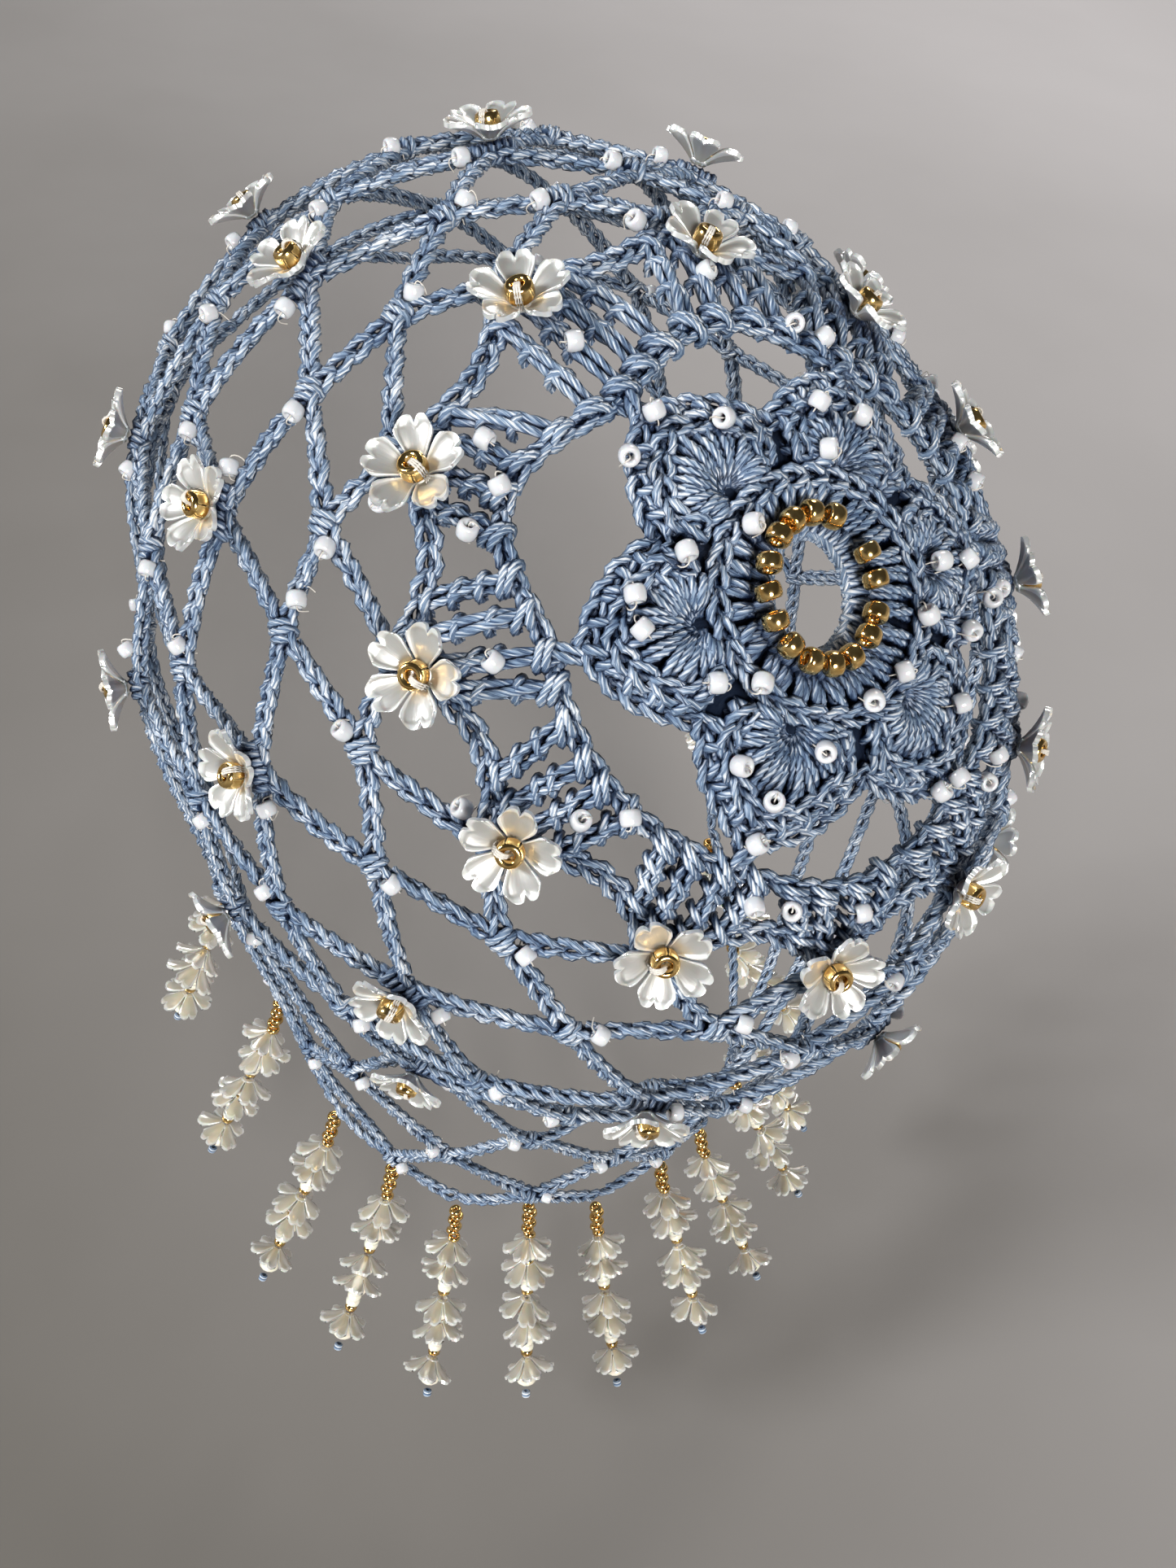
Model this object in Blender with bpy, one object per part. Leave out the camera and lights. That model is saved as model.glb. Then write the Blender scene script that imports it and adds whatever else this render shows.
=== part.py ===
"""Mesh beanie: a crocheted net cap with an open six-petal crown, pearl blossoms and a beaded fringe.

Metres, +Z up. The wearer faces -Y and the nape is towards +Y. The origin is the top of the head that
wears the cap. Every row of the net is worked round one pole, the middle of the crown rosette, which
sits behind the top of the head. A place on the cap is a polar angle away from that pole and a turn
round it, counted from the wearer's left (+X) towards the nape.
"""
import math
from collections import namedtuple

import bmesh
import bpy
from mathutils import Matrix, Vector

# Head form that the cap is stretched over
HEAD_HALF_WIDTH = 0.0773
HEAD_HALF_LENGTH = 0.098
HEAD_HALF_HEIGHT = 0.0857
POLE_TILT = math.radians(46.5)
ROW_LEAN = math.radians(-4.0)

# Neck that the lowest rows hang round
NECK_RADIUS = 0.0553
NECK_WIDENING = 1.03
NECK_BEHIND = 0.0114
NECK_SPREAD = 1.16
NAPE_TURN = math.radians(90.0)
NECK_DROP = 0.1180
ARCH_SAG = 0.0073
HANG_FULL = math.radians(50.0)
HANG_FADE = math.radians(90.0)

# Net of diamonds
COLUMNS = 12
FIRST_TURN = math.radians(323.0)
SWAY_TURN = math.radians(329.0)
LAST_ROW = 11
LAST_HEAD_ROW = 7
CHAIN_WIDTH = 0.0040
CHAIN_THICKNESS = 0.0030
GAP = 0.0003

# Each row's polar angle, its sideways sway in the worn net, and its share of the way down from the
# last row that lies on the head to the rim, where it hangs. Row 0 is the band's edge between two
# corners, row 11 the middle of each arch along the rim.
Row = namedtuple("Row", "number polar_deg sway_deg hang_share")
NET_ROWS = (
    Row(0, 33.6, 1.6, 0.0),
    Row(1, 37.0, 1.6, 0.0),
    Row(2, 43.3, -3.7, 0.0),
    Row(3, 48.8, -5.5, 0.0),
    Row(4, 57.8, -5.0, 0.0),
    Row(5, 67.6, -2.1, 0.0),
    Row(6, 74.5, -1.7, 0.0),
    Row(7, 85.5, -0.9, 0.0),
    Row(8, 94.1, 0.0, 0.38),
    Row(9, 102.1, 0.0, 0.69),
    Row(10, 110.1, 0.0, 1.0),
    Row(11, 112.6, 0.0, 1.0),
)

# Band between the rosette's windows and the net, with how far its inner edge draws back at each window
BAND_STEPS = 48
BAND_THICKNESS = 0.0034
BAND_INNER = math.radians(23.0)
BAND_WINDOWS_DEG = (0.4, 1.0, 0.6, 0.6, 2.4, 4.3)
BAND_EDGE_GAP = 0.0005

# Crown rosette
PETALS = 6
FIRST_PETAL_TURN = math.radians(358.0)
FAN_POLAR = math.radians(13.0)
VALLEY_POLAR = math.radians(15.6)
TIP_POLAR = math.radians(21.8)
LINK_HALF_WIDTH = 0.0017
LINK_GAP = 0.0004
ROSETTE_THICKNESS = 0.0030
FAN_PUFF = 0.0012
OUTLINE_SHARES = (0.15, 0.30, 0.50, 0.75)

# Open middle: an oval that lies off the pole, with the turn that its short way and its shift point to
OVAL_TURN = math.radians(345.0)
OVAL_SHIFT = math.radians(1.4)
HOLE_SHORT = math.radians(3.3)
HOLE_LONG = math.radians(4.6)
SEAT_SHORT = math.radians(6.4)
SEAT_LONG = math.radians(7.6)

# Ring of gold beads round the open middle
RING_SHORT = math.radians(4.8)
RING_LONG = math.radians(5.9)
RING_PLACES = 16
RING_EMPTY_ANGLE = math.radians(229.5)
RING_BEAD_RADIUS = 0.0019
RING_NECK_RADIUS = 0.0011
RING_SIDES = 10

# Pearl blossoms: five notched petals round a gold bead
BLOSSOM_ROWS = (("crown", 1), ("middle", 4), ("rim", 7))

# The crown's blossoms sit on the band, one to a column. Their ring leans to the front, sways with the
# worn net, and is pulled towards the pole at the back on the wearer's right.
CROWN_POLAR = math.radians(34.0)
CROWN_LEAN = math.radians(-2.5)
CROWN_SWAY = math.radians(4.0)
PULL = math.radians(4.5)
PULL_TURN = math.radians(235.0)
PULL_REACH = math.radians(80.0)
BLOSSOM_PETALS = 5
BLOSSOM_RADIUS = 0.0066
BLOSSOM_NOTCH_RADIUS = 0.0058
BLOSSOM_VALLEY_RADIUS = 0.0030
BLOSSOM_RIM_HEIGHT = 0.0044
BLOSSOM_NOTCH_HEIGHT = 0.0042
BLOSSOM_VALLEY_HEIGHT = 0.0024
BLOSSOM_BEAD_RADIUS = 0.0020
BLOSSOM_BEAD_TOP_RADIUS = 0.0010
BLOSSOM_BEAD_FOOT = 0.0016
BLOSSOM_BEAD_MIDDLE = 0.0030
BLOSSOM_BEAD_TOP = 0.0044
BLOSSOM_FOOT_RADIUS = 0.0013
TIP_SPREAD = math.radians(17.0)
BLOSSOM_SEAT_GAP = 0.0005

# Fringe strands, two to a column from ear to ear round the nape
STRAND_COLUMNS = tuple(0.5 * step for step in range(2, 16))
STRAND_LENGTH = 0.056
STRAND_TOP_GAP = 0.0009
STRAND_SIDES = 10
STRAND_SWING = math.radians(43.0)
STRAND_EAR_SWING = math.radians(24.0)
STRAND_FIRST_SWING = math.radians(14.0)
STRAND_BEND = 0.020
STRAND_GATHER = 0.72
STRAND_LEAN = math.radians(5.0)
STRAND_PATH_STEPS = 40

# A strand's profile: share of its length, and radius at the blossoms' petals and between them
Section = namedtuple("Section", "share petal_radius valley_radius")
STRAND_SECTIONS = (
    Section(0.00, 0.0006, 0.0006),
    Section(0.06, 0.0018, 0.0018),
    Section(0.24, 0.0018, 0.0018),
    Section(0.36, 0.0062, 0.0047),
    Section(0.48, 0.0021, 0.0021),
    Section(0.62, 0.0062, 0.0047),
    Section(0.72, 0.0021, 0.0021),
    Section(0.93, 0.0060, 0.0046),
    Section(1.00, 0.0012, 0.0012),
)

# Material looks: base colour, roughness, metallic
COTTON = ((0.30, 0.42, 0.62, 1.0), 0.90, 0.0)
COTTON_LIGHT = ((0.36, 0.48, 0.68, 1.0), 0.90, 0.0)
GOLD = ((0.78, 0.55, 0.22, 1.0), 0.25, 1.0)
PEARL = ((0.88, 0.87, 0.82, 1.0), 0.30, 0.0)


def clear_scene():
    for item in list(bpy.data.objects):
        bpy.data.objects.remove(item, do_unlink=True)


def make_material(name, look):
    material = bpy.data.materials.new(name)
    material.use_nodes = True
    shader = material.node_tree.nodes["Principled BSDF"]
    shader.inputs["Base Color"].default_value = look[0]
    shader.inputs["Roughness"].default_value = look[1]
    shader.inputs["Metallic"].default_value = look[2]
    return material


def add_object(name, mesh, material):
    item = bpy.data.objects.new(name, mesh)
    bpy.context.collection.objects.link(item)
    if not mesh.materials:
        mesh.materials.append(material)
    return item


def finish_mesh(bm, name):
    """Turns the closed body in bm into a mesh with its faces pointing out."""
    bmesh.ops.recalc_face_normals(bm, faces=bm.faces)
    mesh = bpy.data.meshes.new(name)
    bm.to_mesh(mesh)
    bm.free()
    return mesh


def smooth_step(value):
    value = min(max(value, 0.0), 1.0)
    return value * value * (3.0 - 2.0 * value)


# Places on the cap
def head_direction(polar, turn):
    """Unit vector from the head's centre at a polar angle from the pole and a turn round it."""
    across = math.sin(polar) * math.cos(turn)
    down_back = math.sin(polar) * math.sin(turn)
    along = math.cos(polar)
    return Vector((
        across,
        down_back * math.cos(POLE_TILT) + along * math.sin(POLE_TILT),
        along * math.cos(POLE_TILT) - down_back * math.sin(POLE_TILT),
    ))


def head_normal(point):
    """Outward normal of the head form at a point given from the head's centre."""
    return Vector((
        point.x / HEAD_HALF_WIDTH ** 2,
        point.y / HEAD_HALF_LENGTH ** 2,
        point.z / HEAD_HALF_HEIGHT ** 2,
    )).normalized()


def head_place(polar, turn):
    """Point on the head form, from the head's centre, and the normal there."""
    way = head_direction(polar, turn)
    stretch = Vector((way.x / HEAD_HALF_WIDTH, way.y / HEAD_HALF_LENGTH, way.z / HEAD_HALF_HEIGHT)).length
    point = way / stretch
    return point, head_normal(point)


def to_origin(point):
    """The head's centre lies below the origin, which is the top of the head."""
    return point - Vector((0.0, 0.0, HEAD_HALF_HEIGHT))


def crown_point(polar, turn, lift):
    point, normal = head_place(polar, turn)
    return to_origin(point + normal * lift)


def away_from_nape(turn):
    """Turn measured from the nape, from -180 to 180 degrees, wearer's left positive."""
    return math.remainder(NAPE_TURN - turn, 2.0 * math.pi)


def net_turn(column):
    return FIRST_TURN + column * 2.0 * math.pi / COLUMNS


def neck_turn(column):
    """Angle round the neck of a column of the hanging rows, from the nape towards the left."""
    return away_from_nape(net_turn(column)) * NECK_SPREAD


def head_row_place(row_number, column):
    """A row's place if it lies on the head form, from the head's centre, and the normal there."""
    row = NET_ROWS[row_number]
    turn = net_turn(column)
    turn += math.radians(row.sway_deg) * math.cos(turn - SWAY_TURN)
    return head_place(math.radians(row.polar_deg) + ROW_LEAN * math.sin(turn), turn)


def net_place(row_number, column):
    """Point and outward normal of the net's inside at a row and a column, which may be fractions."""
    row = NET_ROWS[row_number]
    point, normal = head_row_place(row_number, column)
    if row_number <= LAST_HEAD_ROW:
        return to_origin(point), normal
    away = abs(away_from_nape(net_turn(column)))
    hang = 1.0 - smooth_step((away - HANG_FULL) / HANG_FADE)
    angle = neck_turn(column)
    outward = Vector((math.sin(angle), math.cos(angle), 0.0))
    sag = ARCH_SAG if row_number == LAST_ROW else 0.0
    rim = Vector((
        NECK_RADIUS * NECK_WIDENING * outward.x,
        NECK_BEHIND + NECK_RADIUS * outward.y,
        -NECK_DROP - sag,
    ))
    top, top_normal = head_row_place(LAST_HEAD_ROW, column)
    hanging = top.lerp(rim, row.hang_share)
    hanging_normal = top_normal.lerp(outward, row.hang_share)
    return to_origin(point.lerp(hanging, hang)), normal.lerp(hanging_normal, hang).normalized()


def knot_normal(row_number, column):
    """Outward normal of the net at a knot, from the knots round it."""
    above, outward = net_place(row_number - 1, column)
    below, _ = net_place(row_number + 1, column)
    left, _ = net_place(row_number, column - 0.5)
    right, _ = net_place(row_number, column + 0.5)
    normal = (below - above).cross(right - left).normalized()
    return normal if normal.dot(outward) > 0.0 else -normal


# Closed bodies from rings of points
def ring_body(name, outer_rings, inner_rings):
    """Band-like body: rings of points run from its inner edge to its outer edge, on both faces."""
    bm = bmesh.new()
    loops = outer_rings + inner_rings[::-1]
    rings = [[bm.verts.new(point) for point in ring] for ring in loops]
    for index, ring in enumerate(rings):
        following = rings[(index + 1) % len(rings)]
        for step in range(len(ring)):
            other = (step + 1) % len(ring)
            bm.faces.new((ring[step], ring[other], following[other], following[step]))
    return finish_mesh(bm, name)


def tube_body(name, rings):
    """Capped body through a row of cross-sections."""
    bm = bmesh.new()
    loops = [[bm.verts.new(point) for point in ring] for ring in rings]
    for first, second in zip(loops, loops[1:]):
        for step in range(len(first)):
            other = (step + 1) % len(first)
            bm.faces.new((first[step], first[other], second[other], second[step]))
    bm.faces.new(loops[0])
    bm.faces.new(loops[-1])
    return finish_mesh(bm, name)


# Net
def node_key(row_number, half_columns):
    return row_number, half_columns % (2 * COLUMNS)


def make_net(material):
    """One solid of crocheted chains: every diamond is cut through."""
    bm = bmesh.new()
    corners = {}
    for row_number in range(LAST_ROW + 1):
        first = 1 if row_number % 2 == 0 else 0
        for half_columns in range(first, 2 * COLUMNS, 2):
            point, _ = net_place(row_number, half_columns / 2.0)
            corners[node_key(row_number, half_columns)] = bm.verts.new(point)
    cells = []
    for row_number in range(1, LAST_ROW):
        first = 0 if row_number % 2 == 0 else 1
        for half_columns in range(first, 2 * COLUMNS, 2):
            keys = (
                node_key(row_number - 1, half_columns),
                node_key(row_number, half_columns - 1),
                node_key(row_number + 1, half_columns),
                node_key(row_number, half_columns + 1),
            )
            cells.append(bm.faces.new([corners[key] for key in keys]))
    bm.normal_update()
    bmesh.ops.inset_individual(bm, faces=cells, thickness=CHAIN_WIDTH / 2.0, use_even_offset=True)
    bmesh.ops.delete(bm, geom=cells, context="FACES_ONLY")
    add_hem(bm, corners)
    bm.normal_update()
    for face in bm.faces:
        outward = face.calc_center_median() - Vector((0.0, 0.0, -HEAD_HALF_HEIGHT))
        if face.normal.dot(outward) < 0.0:
            face.normal_flip()
    mesh = bpy.data.meshes.new("net")
    bm.to_mesh(mesh)
    bm.free()
    net = add_object("net", mesh, material)
    solidify = net.modifiers.new("chain_thickness", "SOLIDIFY")
    solidify.thickness = CHAIN_THICKNESS
    solidify.offset = 1.0
    return net


def add_hem(bm, corners):
    """Second half of the width of the arches along the rim."""
    hem = {}
    for half_columns in range(2 * COLUMNS):
        row_number = LAST_ROW - (half_columns % 2)
        low, _ = net_place(LAST_ROW, half_columns / 2.0)
        high, _ = net_place(LAST_ROW - 2, half_columns / 2.0)
        corner = corners[node_key(row_number, half_columns)]
        hem[half_columns] = (corner, bm.verts.new(corner.co + (low - high).normalized() * CHAIN_WIDTH / 2.0))
    for half_columns in range(2 * COLUMNS):
        upper, lower = hem[half_columns]
        next_upper, next_lower = hem[(half_columns + 1) % (2 * COLUMNS)]
        bm.faces.new((upper, lower, next_lower, next_upper))


# Band
def petal_phase(turn):
    """0 at a petal's tip, 1 at the middle of a window."""
    return 0.5 - 0.5 * math.cos(PETALS * (turn - FIRST_PETAL_TURN))


def band_inner_polar(turn):
    window = int((turn - FIRST_PETAL_TURN) % (2.0 * math.pi) * PETALS / (2.0 * math.pi)) % PETALS
    return BAND_INNER + math.radians(BAND_WINDOWS_DEG[window]) * petal_phase(turn)


def band_edge_place(step):
    """Outer edge of the band, just inside the chains that the net starts from."""
    quarters = 4 * COLUMNS
    share = step * quarters // BAND_STEPS

    def corner(half_columns):
        row_number = 1 if half_columns % 2 == 0 else 0
        return net_place(row_number, half_columns / 2.0)

    if share % 2 == 0:
        point, normal = corner(share // 2)
    else:
        first, first_normal = corner(share // 2)
        second, second_normal = corner(share // 2 + 1)
        point = first.lerp(second, 0.5)
        normal = first_normal.lerp(second_normal, 0.5).normalized()
    pole = crown_point(0.0, 0.0, 0.0)
    inward = pole - point
    inward = (inward - normal * inward.dot(normal)).normalized()
    return point + inward * BAND_EDGE_GAP, normal


def make_band(material):
    outer = [[], []]
    inner = [[], []]
    for step in range(BAND_STEPS):
        turn = net_turn(step * COLUMNS / BAND_STEPS)
        point, normal = head_place(band_inner_polar(turn), turn)
        point = to_origin(point)
        edge, edge_normal = band_edge_place(step)
        inner[0].append(point)
        inner[1].append(edge)
        outer[0].append(point + normal * BAND_THICKNESS)
        outer[1].append(edge + edge_normal * BAND_THICKNESS)
    return add_object("trellis_band", ring_body("trellis_band", outer, inner), material)


# Crown rosette
def rosette_outline():
    """Turn and polar angle of the outline: each petal has a pointed lobe and a link to the band."""
    outline = []
    half_petal = math.pi / PETALS
    for petal in range(PETALS):
        tip_turn = FIRST_PETAL_TURN + petal * 2.0 * half_petal
        band_polar = band_inner_polar(tip_turn)
        head_radius = crown_point(0.0, 0.0, 0.0).z + HEAD_HALF_HEIGHT
        head_radius = head_radius / math.cos(POLE_TILT)
        link_polar = band_polar - LINK_GAP / head_radius
        link_turn = LINK_HALF_WIDTH / (head_radius * math.sin(TIP_POLAR))
        sides = [(share * half_petal, TIP_POLAR + (VALLEY_POLAR - TIP_POLAR) * share) for share in OUTLINE_SHARES]
        outline.append((tip_turn - half_petal, VALLEY_POLAR))
        outline.extend((tip_turn - offset, polar) for offset, polar in reversed(sides))
        outline.append((tip_turn - link_turn, TIP_POLAR))
        outline.append((tip_turn - link_turn * 0.9, link_polar))
        outline.append((tip_turn + link_turn * 0.9, link_polar))
        outline.append((tip_turn + link_turn, TIP_POLAR))
        outline.extend((tip_turn + offset, polar) for offset, polar in sides)
    return outline


def oval_place(angle, short, long):
    """Polar angle and turn of a point of an oval round the open middle."""
    x = OVAL_SHIFT + short * math.cos(angle)
    y = long * math.sin(angle)
    return math.hypot(x, y), OVAL_TURN + math.atan2(y, x)


def make_rosette(material):
    outline = rosette_outline()
    turns = [turn for turn, _ in outline]
    lobes = [0.5 + 0.5 * math.cos(PETALS * (turn - FIRST_PETAL_TURN)) for turn in turns]
    rings = (
        [oval_place(turn - OVAL_TURN, HOLE_SHORT, HOLE_LONG) for turn in turns],
        [oval_place(turn - OVAL_TURN, SEAT_SHORT, SEAT_LONG) for turn in turns],
        [(FAN_POLAR, turn) for turn in turns],
        [(polar, turn) for turn, polar in outline],
    )
    puffs = (0.0, 0.0, FAN_PUFF, 0.0)
    outer = []
    inner = []
    for ring, puff in zip(rings, puffs):
        outer.append([
            crown_point(polar, turn, ROSETTE_THICKNESS + puff * lobe)
            for (polar, turn), lobe in zip(ring, lobes)
        ])
        inner.append([crown_point(polar, turn, 0.0) for polar, turn in ring])
    return add_object("crown_rosette", ring_body("crown_rosette", outer, inner), material)


def make_bead_ring(material):
    """Fifteen gold beads side by side, with one place of sixteen left empty."""
    place = 2.0 * math.pi / RING_PLACES
    lift = ROSETTE_THICKNESS + GAP + RING_BEAD_RADIUS
    rings = []
    start = RING_EMPTY_ANGLE + place / 2.0
    for bead in range(RING_PLACES - 1):
        for share, radius in ((0.0, RING_NECK_RADIUS), (0.28, RING_BEAD_RADIUS), (0.72, RING_BEAD_RADIUS)):
            rings.append(ring_section(start + (bead + share) * place, radius, lift))
    rings.append(ring_section(start + (RING_PLACES - 1) * place, RING_NECK_RADIUS, lift))
    return add_object("bead_ring", tube_body("bead_ring", rings), material)


def ring_section(angle, radius, lift):
    polar, turn = oval_place(angle, RING_SHORT, RING_LONG)
    centre = crown_point(polar, turn, lift)
    _, normal = head_place(polar, turn)
    ahead = crown_point(*oval_place(angle + 0.01, RING_SHORT, RING_LONG), lift)
    behind = crown_point(*oval_place(angle - 0.01, RING_SHORT, RING_LONG), lift)
    sideways = (ahead - behind).normalized().cross(normal).normalized()
    points = []
    for side in range(RING_SIDES):
        angle = 2.0 * math.pi * side / RING_SIDES
        points.append(centre + (sideways * math.cos(angle) + normal * math.sin(angle)) * radius)
    return points


# Blossoms
def blossom_mesh(material):
    """Cupped blossom: notched petals round the outside, a gold bead's shape in the middle."""
    bm = bmesh.new()
    base = bm.verts.new((0.0, 0.0, 0.0))
    outline = []
    petal_angle = 2.0 * math.pi / BLOSSOM_PETALS
    corners = (
        (-petal_angle / 2.0, BLOSSOM_VALLEY_RADIUS, BLOSSOM_VALLEY_HEIGHT),
        (-TIP_SPREAD, BLOSSOM_RADIUS, BLOSSOM_RIM_HEIGHT),
        (0.0, BLOSSOM_NOTCH_RADIUS, BLOSSOM_NOTCH_HEIGHT),
        (TIP_SPREAD, BLOSSOM_RADIUS, BLOSSOM_RIM_HEIGHT),
    )
    for petal in range(BLOSSOM_PETALS):
        for offset, radius, height in corners:
            angle = petal * petal_angle + offset
            outline.append(bm.verts.new((radius * math.cos(angle), radius * math.sin(angle), height)))
    sides = len(outline) // 2
    foot = bead_ring_verts(bm, sides, BLOSSOM_FOOT_RADIUS, BLOSSOM_BEAD_FOOT)
    middle = bead_ring_verts(bm, sides, BLOSSOM_BEAD_RADIUS, BLOSSOM_BEAD_MIDDLE)
    top = bead_ring_verts(bm, sides, BLOSSOM_BEAD_TOP_RADIUS, BLOSSOM_BEAD_TOP)
    for index in range(len(outline)):
        bm.faces.new((base, outline[(index + 1) % len(outline)], outline[index]))
    for side in range(sides):
        following = (side + 1) % sides
        near = outline[2 * side]
        between = outline[2 * side + 1]
        far = outline[(2 * side + 2) % len(outline)]
        bm.faces.new((foot[side], near, between))
        bm.faces.new((foot[side], between, foot[following]))
        bm.faces.new((foot[following], between, far))
        bm.faces.new((foot[side], foot[following], middle[following], middle[side]))
        bm.faces.new((middle[side], middle[following], top[following], top[side]))
    bm.faces.new(top)
    mesh = finish_mesh(bm, "blossom")
    mesh.materials.append(material)
    return mesh


def bead_ring_verts(bm, sides, radius, height):
    verts = []
    for side in range(sides):
        angle = 2.0 * math.pi * side / sides - math.pi / BLOSSOM_PETALS
        verts.append(bm.verts.new((radius * math.cos(angle), radius * math.sin(angle), height)))
    return verts


def crown_blossom_place(column):
    turn = net_turn(column)
    turn += CROWN_SWAY * math.cos(turn - SWAY_TURN)
    away = min(abs(math.remainder(turn - PULL_TURN, 2.0 * math.pi)) / PULL_REACH, 1.0)
    pull = PULL * math.cos(0.5 * math.pi * away) ** 2
    point, normal = head_place(CROWN_POLAR + CROWN_LEAN * math.sin(turn) - pull, turn)
    return to_origin(point), normal


def blossom_place(row_name, row_number, column):
    """Point under a blossom, on the net's inside, and the way that the blossom faces."""
    if row_name == "crown":
        return crown_blossom_place(column)
    point, _ = net_place(row_number, column)
    return point, knot_normal(row_number, column)


def make_blossoms(material):
    mesh = blossom_mesh(material)
    for row_name, row_number in BLOSSOM_ROWS:
        for index in range(COLUMNS):
            column = index if row_number % 2 else index + 0.5
            point, normal = blossom_place(row_name, row_number, column)
            blossom = add_object("blossom_%s_%02d" % (row_name, index + 1), mesh, material)
            upright = Vector((0.0, 0.0, 1.0)).rotation_difference(normal)
            blossom.matrix_world = (
                Matrix.Translation(point + normal * (CHAIN_THICKNESS + BLOSSOM_SEAT_GAP)) @ upright.to_matrix().to_4x4()
            )


# Fringe
def strand_path(column):
    """Points down a strand that starts under the rim, hangs and then lies back over the shoulder."""
    row_number = LAST_ROW if column == int(column) else LAST_ROW - 1
    start, normal = net_place(row_number, column)
    low, _ = net_place(LAST_ROW, column)
    high, _ = net_place(LAST_ROW - 2, column)
    start = start + normal * (CHAIN_THICKNESS / 2.0)
    start = start + (low - high).normalized() * (CHAIN_WIDTH / 2.0 + STRAND_TOP_GAP)
    angle = neck_turn(column)
    ear = smooth_step((abs(math.degrees(angle)) - 70.0) / 45.0)
    swing = STRAND_SWING + (STRAND_EAR_SWING - STRAND_SWING) * ear
    heading = angle * STRAND_GATHER + STRAND_LEAN
    outward = Vector((math.sin(heading), math.cos(heading), 0.0))
    points = [start]
    step = STRAND_LENGTH / STRAND_PATH_STEPS
    for index in range(STRAND_PATH_STEPS):
        bend = smooth_step((index + 0.5) * step / STRAND_BEND)
        tilt = STRAND_FIRST_SWING + (swing - STRAND_FIRST_SWING) * bend
        points.append(points[-1] + (outward * math.sin(tilt) - Vector((0.0, 0.0, math.cos(tilt)))) * step)
    return points, outward


def make_strand(name, column, material):
    path, outward = strand_path(column)
    sideways = Vector((0.0, 0.0, 1.0)).cross(outward).normalized()
    rings = []
    for section in STRAND_SECTIONS:
        place = section.share * STRAND_PATH_STEPS
        index = min(int(place), STRAND_PATH_STEPS - 1)
        centre = path[index].lerp(path[index + 1], place - index)
        along = (path[index + 1] - path[index]).normalized()
        across = along.cross(sideways).normalized()
        ring = []
        for side in range(STRAND_SIDES):
            angle = 2.0 * math.pi * side / STRAND_SIDES
            radius = section.petal_radius if side % 2 == 0 else section.valley_radius
            ring.append(centre + (sideways * math.cos(angle) + across * math.sin(angle)) * radius)
        rings.append(ring)
    return add_object(name, tube_body(name, rings), material)


def make_fringe(material):
    for index, column in enumerate(STRAND_COLUMNS):
        make_strand("fringe_strand_%02d" % (index + 1), column, material)


def main():
    clear_scene()
    cotton = make_material("cotton_yarn", COTTON)
    cotton_light = make_material("cotton_yarn_light", COTTON_LIGHT)
    gold = make_material("gold_bead", GOLD)
    pearl = make_material("pearl_bead", PEARL)
    make_rosette(cotton_light)
    make_bead_ring(gold)
    make_band(cotton_light)
    make_net(cotton)
    make_blossoms(pearl)
    make_fringe(pearl)
    bpy.context.view_layer.update()


main()
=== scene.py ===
"""Looks of the mesh beanie: crochet stitches, pearl blossoms, beads and the beaded fringe.

Metres, +Z up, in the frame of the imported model. The origin is the top of the wearer's head, the nape is
towards +Y. The placing functions repeat those that the solids were made with.
"""

import math

import bpy
import numpy as np
from mathutils import Matrix, Vector


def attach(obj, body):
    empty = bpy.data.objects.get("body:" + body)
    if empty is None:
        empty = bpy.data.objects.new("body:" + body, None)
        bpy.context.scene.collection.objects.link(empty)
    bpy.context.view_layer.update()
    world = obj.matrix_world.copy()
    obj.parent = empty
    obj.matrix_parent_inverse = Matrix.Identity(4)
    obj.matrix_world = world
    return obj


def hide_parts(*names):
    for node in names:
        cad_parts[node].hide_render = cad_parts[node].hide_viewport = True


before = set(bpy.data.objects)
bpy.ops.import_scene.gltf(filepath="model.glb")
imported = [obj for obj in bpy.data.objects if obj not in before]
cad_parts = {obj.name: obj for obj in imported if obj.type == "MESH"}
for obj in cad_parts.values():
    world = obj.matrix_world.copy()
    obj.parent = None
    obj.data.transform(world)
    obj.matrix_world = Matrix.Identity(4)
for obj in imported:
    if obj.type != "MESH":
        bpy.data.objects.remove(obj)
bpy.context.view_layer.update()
chance = np.random.default_rng(11)
MM = 0.001

# Head form that the cap is stretched over
HEAD_HALF_AXES = np.array((0.0773, 0.098, 0.0857))
HEAD_CENTRE = np.array((0.0, 0.0, -0.0857))
POLE_TILT = math.radians(46.5)
ROW_LEAN = math.radians(-4.0)

# Neck that the lowest rows hang round
NECK_RADIUS = 0.0553
NECK_WIDENING = 1.03
NECK_BEHIND = 0.0114
NECK_SPREAD = 1.16
NAPE_TURN = math.radians(90.0)
NECK_DROP = 0.1180
ARCH_SAG = 0.0073
HANG_FULL = math.radians(50.0)
HANG_FADE = math.radians(90.0)

# Net rows: polar angle, sway and share of the way down to the rim
COLUMNS = 12
FIRST_TURN = math.radians(323.0)
SWAY_TURN = math.radians(329.0)
LAST_ROW = 11
LAST_HEAD_ROW = 7
ROW_POLAR_DEG = (33.6, 37.0, 43.3, 48.8, 57.8, 67.6, 74.5, 85.5, 94.1, 102.1, 110.1, 112.6)
ROW_SWAY_DEG = (1.6, 1.6, -3.7, -5.5, -5.0, -2.1, -1.7, -0.9, 0.0, 0.0, 0.0, 0.0)
ROW_HANG_SHARE = (0.0, 0.0, 0.0, 0.0, 0.0, 0.0, 0.0, 0.0, 0.38, 0.69, 1.0, 1.0)
CHAIN_WIDTH = 0.0040
CHAIN_THICKNESS = 0.0030

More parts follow.
